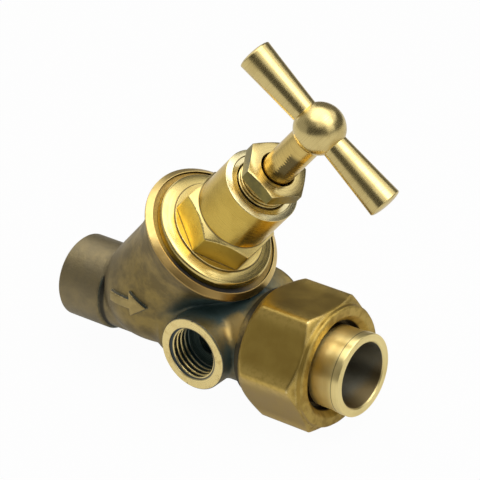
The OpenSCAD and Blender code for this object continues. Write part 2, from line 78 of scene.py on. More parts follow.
NUT_THREAD_R, NUT_CHAMFER = 12.0, 1.5
TAIL_X, TAIL_END_X, TAIL_COLLAR_R, TAIL_COLLAR_T, TAIL_R, TAIL_END_R = 66.6, 79.7, 11.1, 2.8, 9.3, 9.55

TAIL_FOOT_X = NUT_BACK_X + NUT_LEN - 1.6     # how far the painted shade in the nut's hole reaches on the tail

SKIN_STEP = 0.36       # grid of the casting's skin
FILLET_BARREL = 0.9    # cast fillets between the main forms
FILLET_RIM = 0.25      # in the narrow valley between rim and run
FILLET_BOSS = 1.0
MOULD_R = 17.0         # how far the raw barrel reaches before its rim is turned
TOOL_R = 17.12         # outer radius of the tool that turns the rim, clear of the run


# Frames and outlines

def axis_frame(origin, z, x):
    """A frame in millimetres with +Z along an axis of the valve."""
    z, x = Vector(z).normalized(), Vector(x)
    x = (x - x.dot(z) * z).normalized()
    turn = Matrix((x, z.cross(x), z)).transposed().to_4x4()
    return Matrix.Translation(origin) @ turn


BONNET = axis_frame((CROSS_X, 0, 0), (math.cos(BONNET_ANGLE), 0, math.sin(BONNET_ANGLE)),
                    (math.sin(BONNET_ANGLE), 0, -math.cos(BONNET_ANGLE)))
PIPE = axis_frame((0, 0, 0), (1, 0, 0), (0, 1, 0))
DRAIN = axis_frame((DRAIN_X, 0, 0), (0, -1, 0), (1, 0, 0))
BLIND = axis_frame((DRAIN_X, 0, 0), (0, 1, 0), (1, 0, 0))


def arc(centre, radius, start, end, steps):
    angles = [math.radians(start + (end - start) * i / steps) for i in range(steps + 1)]
    return [(centre[0] + radius * math.cos(a), centre[1] + radius * math.sin(a)) for a in angles]


def barrel_outline(top):
    """Raw barrel: round bottom, straight wall and the concave flare carried past the rim."""
    width, height = RIM_R - BARREL_R, BAND_LEVEL - FLARE_LEVEL
    radius = (width * width + height * height) / (2 * width)
    sweep = math.degrees(math.acos(1 - (MOULD_R - BARREL_R) / radius))
    flare = arc((BARREL_R + radius, FLARE_LEVEL), radius, 180, 180 - sweep, 24)
    bottom = arc((0, BARREL_LEVEL), BARREL_R, -90, 0, 24)
    return bottom + flare + [(flare[-1][0], top), (0, top)]


def run_outline(start, end):
    """Raw pipe run, left long at both machined ends."""
    over = SHOULDER_R + 0.6
    return ([(0, start), (SOCKET_R, start)]
            + arc((SOCKET_R - 0.4, SOCKET_LEN - 0.4), 0.4, 0, 90, 6)
            + arc((NECK_R + 0.35, SOCKET_LEN + 0.35), 0.35, 270, 180, 4)
            + [(NECK_R, RUN_START), (RUN_R, RUN_START + RUN_TAPER), (RUN_R, SHOULDER_X - 1.1),
               (over, SHOULDER_X + 0.15), (over, end), (0, end)])


# The casting's skin

class Outline:
    """Signed distance to a turned outline, kept on a fine grid and read by interpolation."""

    STEP = 0.1

    def __init__(self, points, frame_, low, high):
        self.into = np.array(frame_.inverted())
        self.low = low
        grid_r = np.arange(low[0], high[0], self.STEP)
        grid_s = np.arange(low[1], high[1], self.STEP)
        r, s = np.meshgrid(grid_r, grid_s, indexing="ij")
        dist, inside = np.full(r.shape, 1e9), np.zeros(r.shape, bool)
        for a, b in zip(points, points[1:] + points[:1]):
            if a[0] > 0 or b[0] > 0:
                er, es = b[0] - a[0], b[1] - a[1]
                t = np.clip(((r - a[0]) * er + (s - a[1]) * es) / max(er * er + es * es, 1e-12), 0, 1)
                dist = np.minimum(dist, np.hypot(r - a[0] - t * er, s - a[1] - t * es))
            if a[1] != b[1]:
                crossing = a[0] + (s - a[1]) * (b[0] - a[0]) / (b[1] - a[1])
                inside ^= ((a[1] > s) != (b[1] > s)) & (r < crossing)
        self.grid = np.where(inside, -dist, dist)

    def __call__(self, points):
        local = points @ self.into[:3, :3].T + self.into[:3, 3]
        u = (np.hypot(local[:, 0], local[:, 1]) - self.low[0]) / self.STEP
        v = (local[:, 2] - self.low[1]) / self.STEP
        u = np.clip(u, 0, self.grid.shape[0] - 1.001)
        v = np.clip(v, 0, self.grid.shape[1] - 1.001)
        i, j = u.astype(int), v.astype(int)
        u, v = u - i, v - j
        return (self.grid[i, j] * (1 - u) * (1 - v) + self.grid[i + 1, j] * u * (1 - v)
                + self.grid[i, j + 1] * (1 - u) * v + self.grid[i + 1, j + 1] * u * v)


def boss_distance(points, frame_, top, rounding):
    into = np.array(frame_.inverted())
    local = points @ into[:3, :3].T + into[:3, 3]
    half = (top + 4) / 2
    a = np.hypot(local[:, 0], local[:, 1]) - (BOSS_R - rounding)
    b = np.abs(local[:, 2] - (top - half)) - (half - rounding)
    outside = np.hypot(np.maximum(a, 0), np.maximum(b, 0))
    return np.minimum(np.maximum(a, b), 0) + outside - rounding


def filleted(a, b, radius):
    """Union of two distances with a round fillet where they meet."""
    corner = np.hypot(np.maximum(radius - a, 0), np.maximum(radius - b, 0))
    return np.maximum(radius, np.minimum(a, b)) - corner


BARREL_FIELD = Outline(barrel_outline(32.0), BONNET, (0, -12), (45, 50))
RUN_FIELD = Outline(run_outline(-1.5, 67.0), PIPE, (0, -8), (45, 75))

ARROW_AT = Vector((24.0, 6.2))     # centre of the raised flow arrow in X and Z, seen along Y
ARROW_LEN, ARROW_HEAD, ARROW_W, ARROW_STEM, ARROW_H = 11.0, 4.8, 6.6, 2.5, 0.8
ARROW_STEP = 0.16


def casting_distance(points):
    level = (points - np.array(BONNET.translation)) @ np.array(BONNET.col[2])[:3]
    radius = np.interp(level, (26.0, 29.0), (FILLET_BARREL, FILLET_RIM))
    d = filleted(BARREL_FIELD(points), RUN_FIELD(points), radius)
    d = filleted(d, boss_distance(points, DRAIN, DRAIN_FACE + 1.0, 0.3), FILLET_BOSS)
    return filleted(d, boss_distance(points, BLIND, BLIND_FACE, BLIND_ROUND), FILLET_BOSS)


def surface_nets(distance, low, high, step):
    """Vertices and quads on the zero surface of a distance function."""
    axes = [np.arange(low[k], high[k] + step, step) for k in range(3)]
    size = [len(a) for a in axes]
    y, z = np.meshgrid(axes[1], axes[2], indexing="ij")
    value = np.empty(size)
    for i, x in enumerate(axes[0]):
        value[i] = distance(np.stack([np.full(y.size, x), y.ravel(), z.ravel()], -1)).reshape(y.shape)
    inside = value < 0
    corners = [(a, b, c) for a in (0, 1) for b in (0, 1) for c in (0, 1)]
    count = sum(inside[a:size[0] - 1 + a, b:size[1] - 1 + b, c:size[2] - 1 + c].astype(int)
                for a, b, c in corners)
    active = (count > 0) & (count < 8)
    index = np.full(active.shape, -1)
    index[active] = np.arange(active.sum())
    cells = np.argwhere(active)
    total, hits = np.zeros((len(cells), 3)), np.zeros(len(cells))
    for corner in corners:
        for k in range(3):
            if corner[k]:
                continue
            a = np.array(corner)
            b = a + np.eye(3, dtype=int)[k]
            va, vb = value[tuple((cells + a).T)], value[tuple((cells + b).T)]
            cut = (va < 0) != (vb < 0)
            t = np.where(cut, va / np.where(cut, va - vb, 1), 0)
            total[cut] += (a + np.outer(t, b - a))[cut]
            hits[cut] += 1
    verts = np.array(low) + step * (cells + total / hits[:, None])
    faces = []
    for k in range(3):
        u, v = (k + 1) % 3, (k + 2) % 3
        near = [slice(None)] * 3
        far = [slice(None)] * 3
        near[k], far[k] = slice(0, -1), slice(1, None)
        near, far = tuple(near), tuple(far)
        edges = np.argwhere(inside[near] != inside[far])
        quad = []
        for du, dv in ((1, 1), (0, 1), (0, 0), (1, 0)):
            cell = edges.copy()
            cell[:, u] -= du
            cell[:, v] -= dv
            quad.append(index[tuple(cell.T)])
        quad = np.stack(quad, -1)
        outward = ~inside[near][tuple(edges.T)]
        quad[outward] = quad[outward][:, ::-1]
        faces.append(quad)
    return verts, np.concatenate(faces)


def settle(distance, points, rounds=3, e=0.02):
    """Moves points onto the zero surface."""
    for _ in range(rounds):
        slope = np.stack([distance(points + d) - distance(points - d) for d in np.eye(3) * e], -1)
        slope /= 2 * e
        length = np.maximum((slope * slope).sum(-1), 0.3)
        points = points - (distance(points) / length)[:, None] * slope
    return points


def arrow_distance(points):
    """Distance to a flow arrow that stands ARROW_H proud of the casting and is rooted in it."""
    over = casting_distance(points)
    x, z = points[:, 0] - ARROW_AT.x, np.abs(points[:, 2] - ARROW_AT.y)
    tip = ARROW_LEN / 2
    slant = math.hypot(1, ARROW_W / 2 / ARROW_HEAD)
    head = np.maximum((z + (x - tip) * (ARROW_W / 2) / ARROW_HEAD) / slant, (tip - ARROW_HEAD) - x)
    stem = np.maximum(z - ARROW_STEM / 2, np.maximum(-tip - x, x - (tip - ARROW_HEAD) - 0.5))
    side = np.minimum(head, stem) + 0.2 * over
    return np.maximum(-filleted(-side, ARROW_H - over, 0.22), -0.8 - over)


# Meshes

def make_object(name, verts, faces):
    mesh = bpy.data.meshes.new(name)
    mesh.from_pydata([tuple(MM * c for c in v) for v in verts], [], faces)
    mesh.update()
    obj = bpy.data.objects.new(name, mesh)
    bpy.context.scene.collection.objects.link(obj)
    return obj


def turned(points, frame_, steps=128, name="cutter"):
    """Closed outline (r, s), turned about a frame's Z."""
    verts, rings, faces = [], [], []
    around = [(math.cos(2 * math.pi * i / steps), math.sin(2 * math.pi * i / steps))
              for i in range(steps)]
    for r, s in points:
        first = len(verts)
        ring = [(0, 0, s)] if r < 1e-9 else [(r * c, r * d, s) for c, d in around]
        verts += ring
        rings.append(range(first, first + len(ring)))
    for p, q in zip(rings, rings[1:] + rings[:1]):
        for i in range(steps):
            j = (i + 1) % steps
            corners = [p[i % len(p)], p[j % len(p)], q[j % len(q)], q[i % len(q)]]
            face = list(dict.fromkeys(corners))
            if len(face) > 2:
                faces.append(face)
    return make_object(name, [frame_ @ Vector(v) for v in verts], faces)


def prism(af, low, high, turn, frame_, name="cutter"):
    """Hexagonal bar along a frame's Z."""
    corner = af / 2 / math.cos(math.radians(30))
    verts = [frame_ @ Vector((corner * math.cos(math.radians(60 * i + turn)),
                              corner * math.sin(math.radians(60 * i + turn)), s))
             for s in (low, high) for i in range(6)]
    faces = [tuple(range(5, -1, -1)), tuple(range(6, 12))]
    faces += [(i, (i + 1) % 6, 6 + (i + 1) % 6, 6 + i) for i in range(6)]
    return make_object(name, verts, faces)


def cut(obj, tool, operation="DIFFERENCE"):
    """Boolean of two closed meshes, applied at once; the tool is used up."""
    modifier = obj.modifiers.new("cut", "BOOLEAN")
    modifier.operation, modifier.solver, modifier.object = operation, "MANIFOLD", tool
    graph = bpy.context.evaluated_depsgraph_get()
    mesh = bpy.data.meshes.new_from_object(obj.evaluated_get(graph))
    obj.modifiers.clear()
    spent, obj.data = (obj.data, tool.data), mesh
    bpy.data.objects.remove(tool)
    for old in spent:
        bpy.data.meshes.remove(old)
    return obj


def finish_mesh(obj, angle):
    obj.data.shade_smooth()
    obj.data.set_sharp_from_angle(angle=math.radians(angle))


def hexagon(af, turn, sharpness, around=480):
    """Hexagon with rounded corners: gives its radius all round where a circle limits it too."""
    angles = 2 * math.pi * np.arange(around) / around
    facing = np.cos(angles[:, None] - math.radians(turn + 30) - np.radians(60 * np.arange(6)))
    load = ((np.maximum(facing, 0) / (af / 2)) ** sharpness).sum(1)
    return lambda r: (load + (1 / r) ** sharpness) ** (-1 / sharpness)


def lofted(hexed, plain, shape, frame_, name, step=0.3):
    """Closed outline (r, s): a part that is held inside a hexagon, then a plainly turned part."""
    rings = []
    for (r0, s0), (r1, s1) in zip(hexed, hexed[1:]):
        count = max(1, math.ceil(math.hypot(r1 - r0, s1 - s0) / step))
        rings += [(shape(r0 + (r1 - r0) * i / count), s0 + (s1 - s0) * i / count)
                  for i in range(count)]
    rings.append((shape(hexed[-1][0]), hexed[-1][1]))
    around = len(rings[0][0])
    rings += [(np.full(around, r), s) for r, s in plain]
    angles = 2 * math.pi * np.arange(around) / around
    verts = [frame_ @ Vector((r[i] * math.cos(angles[i]), r[i] * math.sin(angles[i]), s))
             for r, s in rings for i in range(around)]
    faces = []
    for j in range(len(rings)):
        a, b = j * around, ((j + 1) % len(rings)) * around
        faces += [(a + i, a + (i + 1) % around, b + (i + 1) % around, b + i) for i in range(around)]
    return make_object(name, verts, faces)


def thread_sleeve(name, frame_, major, minor, pitch, low, high, back, internal, mouth=None):
    """Helical ridges as a thin closed sleeve whose back lies inside the metal."""
    around, per_pitch = 120, 14
    rows = int((high - low) / pitch * per_pitch) + 1
    verts = []
    for j in range(rows):
        s = low + (high - low) * j / (rows - 1)
        for i in range(around):
            phase = (s / pitch - i / around) % 1.0
            ridge = min(max(1.6 * (1 - abs(2 * phase - 1)) - 0.3, 0), 1)
            ridge = ridge * ridge * (3 - 2 * ridge)
            r = major + (minor - major) * ridge if internal else minor + (major - minor) * ridge
            if mouth is not None:
                r = max(r, mouth - 2.5 * (high - s)) if internal else min(r, mouth + (high - s))
            a = 2 * math.pi * i / around
            verts.append((r * math.cos(a), r * math.sin(a), s))
    for s in (high, low):
        verts += [(back * math.cos(2 * math.pi * i / around),
                   back * math.sin(2 * math.pi * i / around), s) for i in range(around)]
    faces = []
    for j in range(rows + 2):
        for i in range(around):
            a, b = j * around, ((j + 1) % (rows + 2)) * around
            k = (i + 1) % around
            face = (a + i, a + k, b + k, b + i)
            faces.append(face[::-1] if internal else face)
    obj = make_object(name, [frame_ @ Vector(v) for v in verts], faces)
    finish_mesh(obj, 50)
    return obj


def join(name, *objects):
    """One object from several, with their material slots kept."""
    bpy.ops.object.select_all(action="DESELECT")
    for obj in objects:
        obj.select_set(True)
    bpy.context.view_layer.objects.active = objects[0]
    bpy.ops.object.join()
    objects[0].name = name
    objects[0].data.name = name
    return objects[0]


# Pieces

def make_body():
    verts, faces = surface_nets(casting_distance, (-2.6, -18.7, -16.5), (68.0, 18.7, 42.0), SKIN_STEP)
    verts = settle(casting_distance, verts)
    body = make_object("body_casting", verts, [tuple(q) for q in faces.tolist()])

    reach = Vector((ARROW_LEN / 2 + 1, ARROW_W / 2 + 1))
    for near, far in ((-14.0, -9.0), (9.0, 14.0)):
        low = (ARROW_AT.x - reach.x, near, ARROW_AT.y - reach.y)
        high = (ARROW_AT.x + reach.x, far, ARROW_AT.y + reach.y)
        verts, faces = surface_nets(arrow_distance, low, high, ARROW_STEP)
        verts = settle(arrow_distance, verts, 2)
        cut(body, make_object("cutter", verts, [tuple(q) for q in faces.tolist()]), "UNION")

    slope_r = RIM_R - RIM_SLOPE_W
    cut(body, turned([(slope_r, RIM_INNER_LEVEL), (RIM_R - 0.15, RIM_LEVEL), (RIM_R, RIM_LEVEL - 0.15),
                      (RIM_R, BAND_LEVEL), (TOOL_R, BAND_LEVEL), (TOOL_R, 60), (0, 60),
                      (0, RIM_INNER_LEVEL)], BONNET, 192))
    cut(body, turned([(SHOULDER_R, SHOULDER_X - 0.7), (20, SHOULDER_X - 0.7), (20, 80), (0, 80),
                      (0, SPIGOT_X),
                      (SPIGOT_R - 0.92, SPIGOT_X), (SPIGOT_R, SPIGOT_X - 1),
                      (SPIGOT_R, SHOULDER_X + SHOULDER_W + 2), (RUN_R, SHOULDER_X + SHOULDER_W + 1),
                      (RUN_R, SHOULDER_X + SHOULDER_W),
                      (SHOULDER_R - 0.3, SHOULDER_X + SHOULDER_W),
                      (SHOULDER_R, SHOULDER_X + SHOULDER_W - 0.3)], PIPE))
    cut(body, turned([(0, -10), (20, -10), (20, 0.55), (SOCKET_R, 0.5), (SOCKET_R - 0.45, 0), (0, 0)],
                     PIPE))
    cut(body, turned([(0, DRAIN_FACE), (BOSS_R - 0.3, DRAIN_FACE), (BOSS_R, DRAIN_FACE - 0.3),
                      (BOSS_R + 0.9, DRAIN_FACE - 0.3), (BOSS_R + 0.9, 25), (0, 25)], DRAIN))
    cut(body, turned([(0, SEAT_LEVEL), (LAND_R - 0.3, SEAT_LEVEL), (LAND_R, SEAT_LEVEL - 0.3),
                      (LAND_R, FLOOR_LEVEL), (CHAMBER_R, FLOOR_LEVEL), (CHAMBER_R, THREAD_LEVEL),
                      (THREAD_R, THREAD_LEVEL), (THREAD_R, RECESS_LEVEL), (RECESS_R, RECESS_LEVEL),
                      (RECESS_R, 32), (0, 32)], BONNET, 192))
    cut(body, turned([(0, -3), (SOCKET_BORE_R + 0.3, -3), (SOCKET_BORE_R + 0.3, 0),
                      (SOCKET_BORE_R, 0.3), (SOCKET_BORE_R, SOCKET_DEPTH), (0, SOCKET_DEPTH)], PIPE))
    cut(body, turned([(0, -6), (DRAIN_WAY_R, -6), (DRAIN_WAY_R, DRAIN_FACE - DRAIN_DEPTH),
                      (DRAIN_THREAD_R, DRAIN_FACE - DRAIN_DEPTH),
                      (DRAIN_THREAD_R, DRAIN_FACE - DRAIN_CHAMFER),
                      (DRAIN_THREAD_R + DRAIN_CHAMFER, DRAIN_FACE),
                      (DRAIN_THREAD_R + DRAIN_CHAMFER, 20), (0, 20)], DRAIN))
    inlet = turned([(0, SOCKET_DEPTH - 0.1), (WAY_R, SOCKET_DEPTH - 0.1), (WAY_R, 30), (0, 30)], PIPE)
    cut(inlet, turned([(0, WEB_LEVEL), (40, WEB_LEVEL), (40, 60), (0, 60)], BONNET, 32))
    cut(body, inlet)
    cut(body, turned([(0, WEB_LEVEL - 1), (SEAT_R, WEB_LEVEL - 1), (SEAT_R, 4), (0, 4)], BONNET))
    outlet = turned([(0, CROSS_X), (WAY_R, CROSS_X), (WAY_R, 70), (0, 70)], PIPE)
    cut(outlet, turned([(0, -60), (60, -60), (60, FLOOR_LEVEL), (LAND_R, FLOOR_LEVEL),
                        (LAND_R, SEAT_LEVEL), (0, SEAT_LEVEL)], BONNET))
    cut(body, outlet)

    centres = np.empty(3 * len(body.data.polygons))
    body.data.polygons.foreach_get("center", centres)
    centres = centres.reshape(-1, 3) / MM
    over = casting_distance(centres)
    on_arrow = (arrow_distance(centres) < 0.15) & (over > -0.05)
    from_run = np.hypot(centres[:, 1], centres[:, 2])
    on_shoulder = (centres[:, 0] > SHOULDER_X - 1) & (np.abs(from_run - SHOULDER_R) < 0.02)
    kind = ((np.abs(over) > 0.05) & ~on_arrow & ~on_shoulder).astype(int)
    from_drain = np.hypot(centres[:, 0] - DRAIN_X, centres[:, 2])
    kind[(centres[:, 0] > SOCKET_LEN - 1) & (centres[:, 0] < SOCKET_LEN + 3) & (from_run > NECK_R - 0.3)] = 0
    kind[(centres[:, 0] < 0.6) & (from_run > SOCKET_R - 0.44)] = 0
    # the arrow's flanks get the copy of the cast material that is painted dark as shade
    kind[on_arrow & (over > 0.04)] = 3
    kind[on_arrow & (over > 0.8 * ARROW_H)] = 4
    kind[(kind == 1) & (from_drain < BOSS_R + 0.05) & (centres[:, 1] < -DRAIN_WAY_R)] = 2
    body.data.materials.clear()
    for mat in (CAST, FACED, TAPPED, CAST_FLANK_SHADED, CAST_TOP):
        body.data.materials.append(mat)
    body.data.polygons.foreach_set("material_index", kind)
    finish_mesh(body, 38)
    return body


def make_gland_nut():
    corner = GLAND_AF / 2 / math.cos(math.radians(30))
    flat = GLAND_AF / 2 - 0.2
    top = GLAND_HEX_LEVEL + GLAND_HEX_H
    head = turned([(0, GLAND_HEX_LEVEL), (flat, GLAND_HEX_LEVEL), (corner, GLAND_HEX_LEVEL + 0.4),
                   (corner, top - 0.5), (flat, top), (0, top)], BONNET, 192, "gland_nut_turned")
    cut(head, prism(GLAND_AF, GLAND_HEX_LEVEL - 1, top + 1, GLAND_TURN, BONNET), "INTERSECT")
    neck = turned([(0, NOSE_LEVEL), (GLAND_MINOR_R - 0.2, NOSE_LEVEL),
                   (GLAND_MINOR_R - 0.2, GLAND_HEX_LEVEL + 1), (0, GLAND_HEX_LEVEL + 1)], BONNET)
    cut(head, neck, "UNION")
    cut(head, turned([(0, NOSE_LEVEL - 1), (GLAND_HOLE_R, NOSE_LEVEL - 1), (GLAND_HOLE_R, top - 0.25),
                      (GLAND_HOLE_R + 0.25, top), (GLAND_HOLE_R + 0.25, top + 1), (0, top + 1)],
                     BONNET))
    finish_mesh(head, 30)
    thread = thread_sleeve("gland_thread", BONNET, GLAND_R, GLAND_MINOR_R, GLAND_PITCH,
                           NOSE_LEVEL + 0.1, GLAND_HEX_LEVEL - 0.5, GLAND_MINOR_R - 0.5, False,
                           GLAND_MINOR_R)
    return join("gland_nut_turned", head, thread)


def make_bonnet():
    crown = arc((FLANGE_R - 0.9, CROWN_LEVEL), 0.9, 0, 68, 8)
    first = crown[-1]
    dome = [(first[0] + (PAD_R - first[0]) * t, first[1] + (CROWN_TOP - first[1]) * (1.5 * t - 0.5 * t * t))
            for t in (0.2, 0.4, 0.6, 0.8, 1.0)]
    corner = BONNET_AF / 2 / math.cos(math.radians(30))
    plain = [(NECK_TOP_R, 40.17), (NECK_TOP_R, NECK_TOP - 0.5), (NECK_TOP_R - 0.1, NECK_TOP - 0.38),
             (7.6, NECK_TOP), (7.48, NECK_TOP), (7.36, NECK_TOP - 0.25), (6.3, NECK_TOP - 0.25),
             (6.0, NECK_TOP - 0.55), (6.0, PACKING_TOP - 0.2), (PACKING_R, PACKING_TOP - 0.6),
             (PACKING_R, PACKING_LEVEL), (SHAFT_R, PACKING_LEVEL), (SHAFT_R, PACKING_FLOOR),
             (LIFT_R, PACKING_FLOOR), (LIFT_R, FOOT_LEVEL), (BONNET_THREAD_R - 0.8, FOOT_LEVEL),
             (BONNET_THREAD_R, FOOT_LEVEL + 0.8), (BONNET_THREAD_R, FLANGE_LEVEL),
             (FLANGE_R - 0.1, FLANGE_LEVEL), (FLANGE_R, FLANGE_LEVEL + 0.1)]
    plain += crown + dome + [(PAD_R, PAD_LEVEL - 0.1), (PAD_R - 0.08, PAD_LEVEL)]
    bonnet = lofted([(corner, PAD_LEVEL), (corner, HEX_TOP), (NECK_TOP_R + 0.03, 40.15)], plain,
                    hexagon(BONNET_AF, BONNET_TURN, 130), BONNET, "bonnet_turned")
    finish_mesh(bonnet, 24)
    return bonnet


def make_union_nut():
    corner = NUT_AF / 2 / math.cos(math.radians(30))
    front = NUT_BACK_X + NUT_LEN
    hexed = [(NUT_COLLAR_R, NUT_BACK_X), (corner, NUT_BACK_X + NUT_BACK_CUT),
             (corner, front - NUT_FRONT_CUT), (NUT_COLLAR_R, front - NUT_COLLAR_H),
             (NUT_COLLAR_R, front - 0.35)]
    plain = [(NUT_COLLAR_R - 0.35, front), (NUT_HOLE_R + NUT_CHAMFER, front),
             (NUT_HOLE_R, front - NUT_CHAMFER), (NUT_HOLE_R, front - NUT_LIP),
             (NUT_THREAD_R, front - NUT_LIP), (NUT_THREAD_R, NUT_BACK_X + 1),
             (NUT_THREAD_R + 1, NUT_BACK_X), (NUT_COLLAR_R - 0.3, NUT_BACK_X)]
    nut = lofted(hexed, plain, hexagon(NUT_AF, NUT_TURN, 62), PIPE, "union_nut_pressed")
    finish_mesh(nut, 28)
    return nut


def make_tail():
    flare = [(TAIL_R + (TAIL_END_R - TAIL_R) * (0.5 - 0.5 * math.cos(math.pi * t / 8)),
              TAIL_END_X - 4.4 + 2.8 * t / 8) for t in range(9)]
    tail = turned([(WAY_R, TAIL_X), (TAIL_COLLAR_R, TAIL_X), (TAIL_COLLAR_R, TAIL_X + TAIL_COLLAR_T),
                   (TAIL_R, TAIL_X + TAIL_COLLAR_T)] + flare
                  + arc((TAIL_END_R - 0.3, TAIL_END_X - 0.3), 0.3, 0, 90, 6)
                  + [(SOCKET_BORE_R + 0.3, TAIL_END_X), (SOCKET_BORE_R, TAIL_END_X - 0.3),
                     (SOCKET_BORE_R, TAIL_END_X - SOCKET_DEPTH), (WAY_R, TAIL_END_X - SOCKET_DEPTH)],
                  PIPE, 192, "union_tail_turned")
    finish_mesh(tail, 24)
    return tail


# Camera

def make_camera():
    azimuth, elevation = math.radians(39.20), math.radians(28.70)
    aim, distance, roll = Vector((0.04893, -0.00266, 0.02525)), 0.6273, math.radians(-2.29)
    back = Vector((math.sin(azimuth) * math.cos(elevation),
                   -math.cos(azimuth) * math.cos(elevation),
                   math.sin(elevation)))
    data = bpy.data.cameras.new("camera")
    data.sensor_width = 36.0
    data.lens = 215.625
    data.clip_start = 0.01
    data.clip_end = 20.0
    cam = bpy.data.objects.new("camera", data)
    bpy.context.scene.collection.objects.link(cam)
    turn = back.to_track_quat("Z", "Y").to_matrix() @ Matrix.Rotation(roll, 3, "Z")
    cam.matrix_world = Matrix.Translation(aim + distance * back) @ turn.to_4x4()
    bpy.context.scene.camera = cam


# Stage

def background_mask(nt, camera, others):
    """Share of the plain background that camera, glossy and transmission rays see."""
    path = nt.nodes.new("ShaderNodeLightPath")
    either = nt.nodes.new("ShaderNodeMath")
    either.operation = "MAXIMUM"
    nt.links.new(path.outputs["Is Glossy Ray"], either.inputs[0])
    nt.links.new(path.outputs["Is Transmission Ray"], either.inputs[1])
    scaled = nt.nodes.new("ShaderNodeMath")
    scaled.operation = "MULTIPLY"
    scaled.inputs[1].default_value = others
    nt.links.new(either.outputs[0], scaled.inputs[0])
    total = nt.nodes.new("ShaderNodeMath")
    total.operation = "MULTIPLY_ADD"
    total.inputs[1].default_value = camera
    nt.links.new(path.outputs["Is Camera Ray"], total.inputs[0])
    nt.links.new(scaled.outputs[0], total.inputs[2])
    return total.outputs[0]


def make_world():
    world = bpy.data.worlds.new("studio")
    bpy.context.scene.world = world
    world.use_nodes = True
    nt = world.node_tree
    nt.nodes.clear()
    out = nt.nodes.new("ShaderNodeOutputWorld")
    back = nt.nodes.new("ShaderNodeBackground")
    back.inputs["Color"].default_value = (1.0, 1.0, 1.0, 1.0)
    level = nt.nodes.new("ShaderNodeMapRange")
    level.inputs["To Min"].default_value = 0.4
    level.inputs["To Max"].default_value = 1.0
    nt.links.new(background_mask(nt, 1.0, 1.0), level.inputs["Value"])
    nt.links.new(level.outputs["Result"], back.inputs["Strength"])
    nt.links.new(back.outputs[0], out.inputs["Surface"])


def make_floor(z):
    mesh = bpy.data.meshes.new("floor")
    s = 4.0
    mesh.from_pydata([(-s, -s, z), (s, -s, z), (s, s, z), (-s, s, z)], [], [(0, 1, 2, 3)])
    obj = bpy.data.objects.new("floor", mesh)
    bpy.context.scene.collection.objects.link(obj)
    mat = bpy.data.materials.new("floor_paper")
    mat.use_nodes = True
    nt = mat.node_tree
    nt.nodes.clear()
    out = nt.nodes.new("ShaderNodeOutputMaterial")
    paper = nt.nodes.new("ShaderNodeBsdfDiffuse")
    paper.inputs["Color"].default_value = (0.68, 0.67, 0.65, 1.0)
    glow = nt.nodes.new("ShaderNodeEmission")
    mix = nt.nodes.new("ShaderNodeMixShader")
    nt.links.new(background_mask(nt, 0.97, 0.4), mix.inputs[0])
    nt.links.new(paper.outputs[0], mix.inputs[1])
    nt.links.new(glow.outputs[0], mix.inputs[2])
    nt.links.new(mix.outputs[0], out.inputs["Surface"])
    mesh.materials.append(mat)


def make_lamp(name, azimuth, elevation, distance, size, radiance):
    """A square soft box aimed at the object."""
    a, e = math.radians(azimuth), math.radians(elevation)
    out = Vector((math.cos(a) * math.cos(e), math.sin(a) * math.cos(e), math.sin(e)))
    data = bpy.data.lights.new(name, "AREA")
    data.shape = "SQUARE"
    data.size = size
    data.energy = radiance * math.pi * size * size
    obj = bpy.data.objects.new(name, data)
    bpy.context.scene.collection.objects.link(obj)
    aim = Vector((0.045, 0.0, 0.03))
    obj.matrix_world = (Matrix.Translation(aim + distance * out)
                        @ out.to_track_quat("Z", "Y").to_matrix().to_4x4())
    obj.visible_camera = False
    return obj


def make_card(name, azimuths, elevations, level, radius=0.95, steps=16):
    """A curved and evenly lit studio card that only reflections and light meet."""
    centre = Vector((0.045, 0.0, 0.03))
    verts, faces = [], []
    for i in range(steps + 1):
        a = math.radians(azimuths[0] + (azimuths[1] - azimuths[0]) * i / steps)
        for j in range(steps + 1):
            e = math.radians(elevations[0] + (elevations[1] - elevations[0]) * j / steps)
            verts.append(centre + radius * Vector((math.cos(a) * math.cos(e),
                                                   math.sin(a) * math.cos(e), math.sin(e))))
    for i in range(steps):
        for j in range(steps):
            k = i * (steps + 1) + j
            faces.append((k, k + 1, k + steps + 2, k + steps + 1))
    mesh = bpy.data.meshes.new(name)
    mesh.from_pydata([tuple(v) for v in verts], [], faces)
    obj = bpy.data.objects.new(name, mesh)
    bpy.context.scene.collection.objects.link(obj)
    mat = bpy.data.materials.new(name)
    mat.use_nodes = True
    nt = mat.node_tree
    nt.nodes.clear()
    out = nt.nodes.new("ShaderNodeOutputMaterial")
    card = nt.nodes.new("ShaderNodeEmission")
    card.inputs["Color"].default_value = (level, level, level, 1.0)
    nt.links.new(card.outputs[0], out.inputs["Surface"])
    mesh.materials.append(mat)
    obj.visible_camera = False
    obj.visible_shadow = False


# Materials

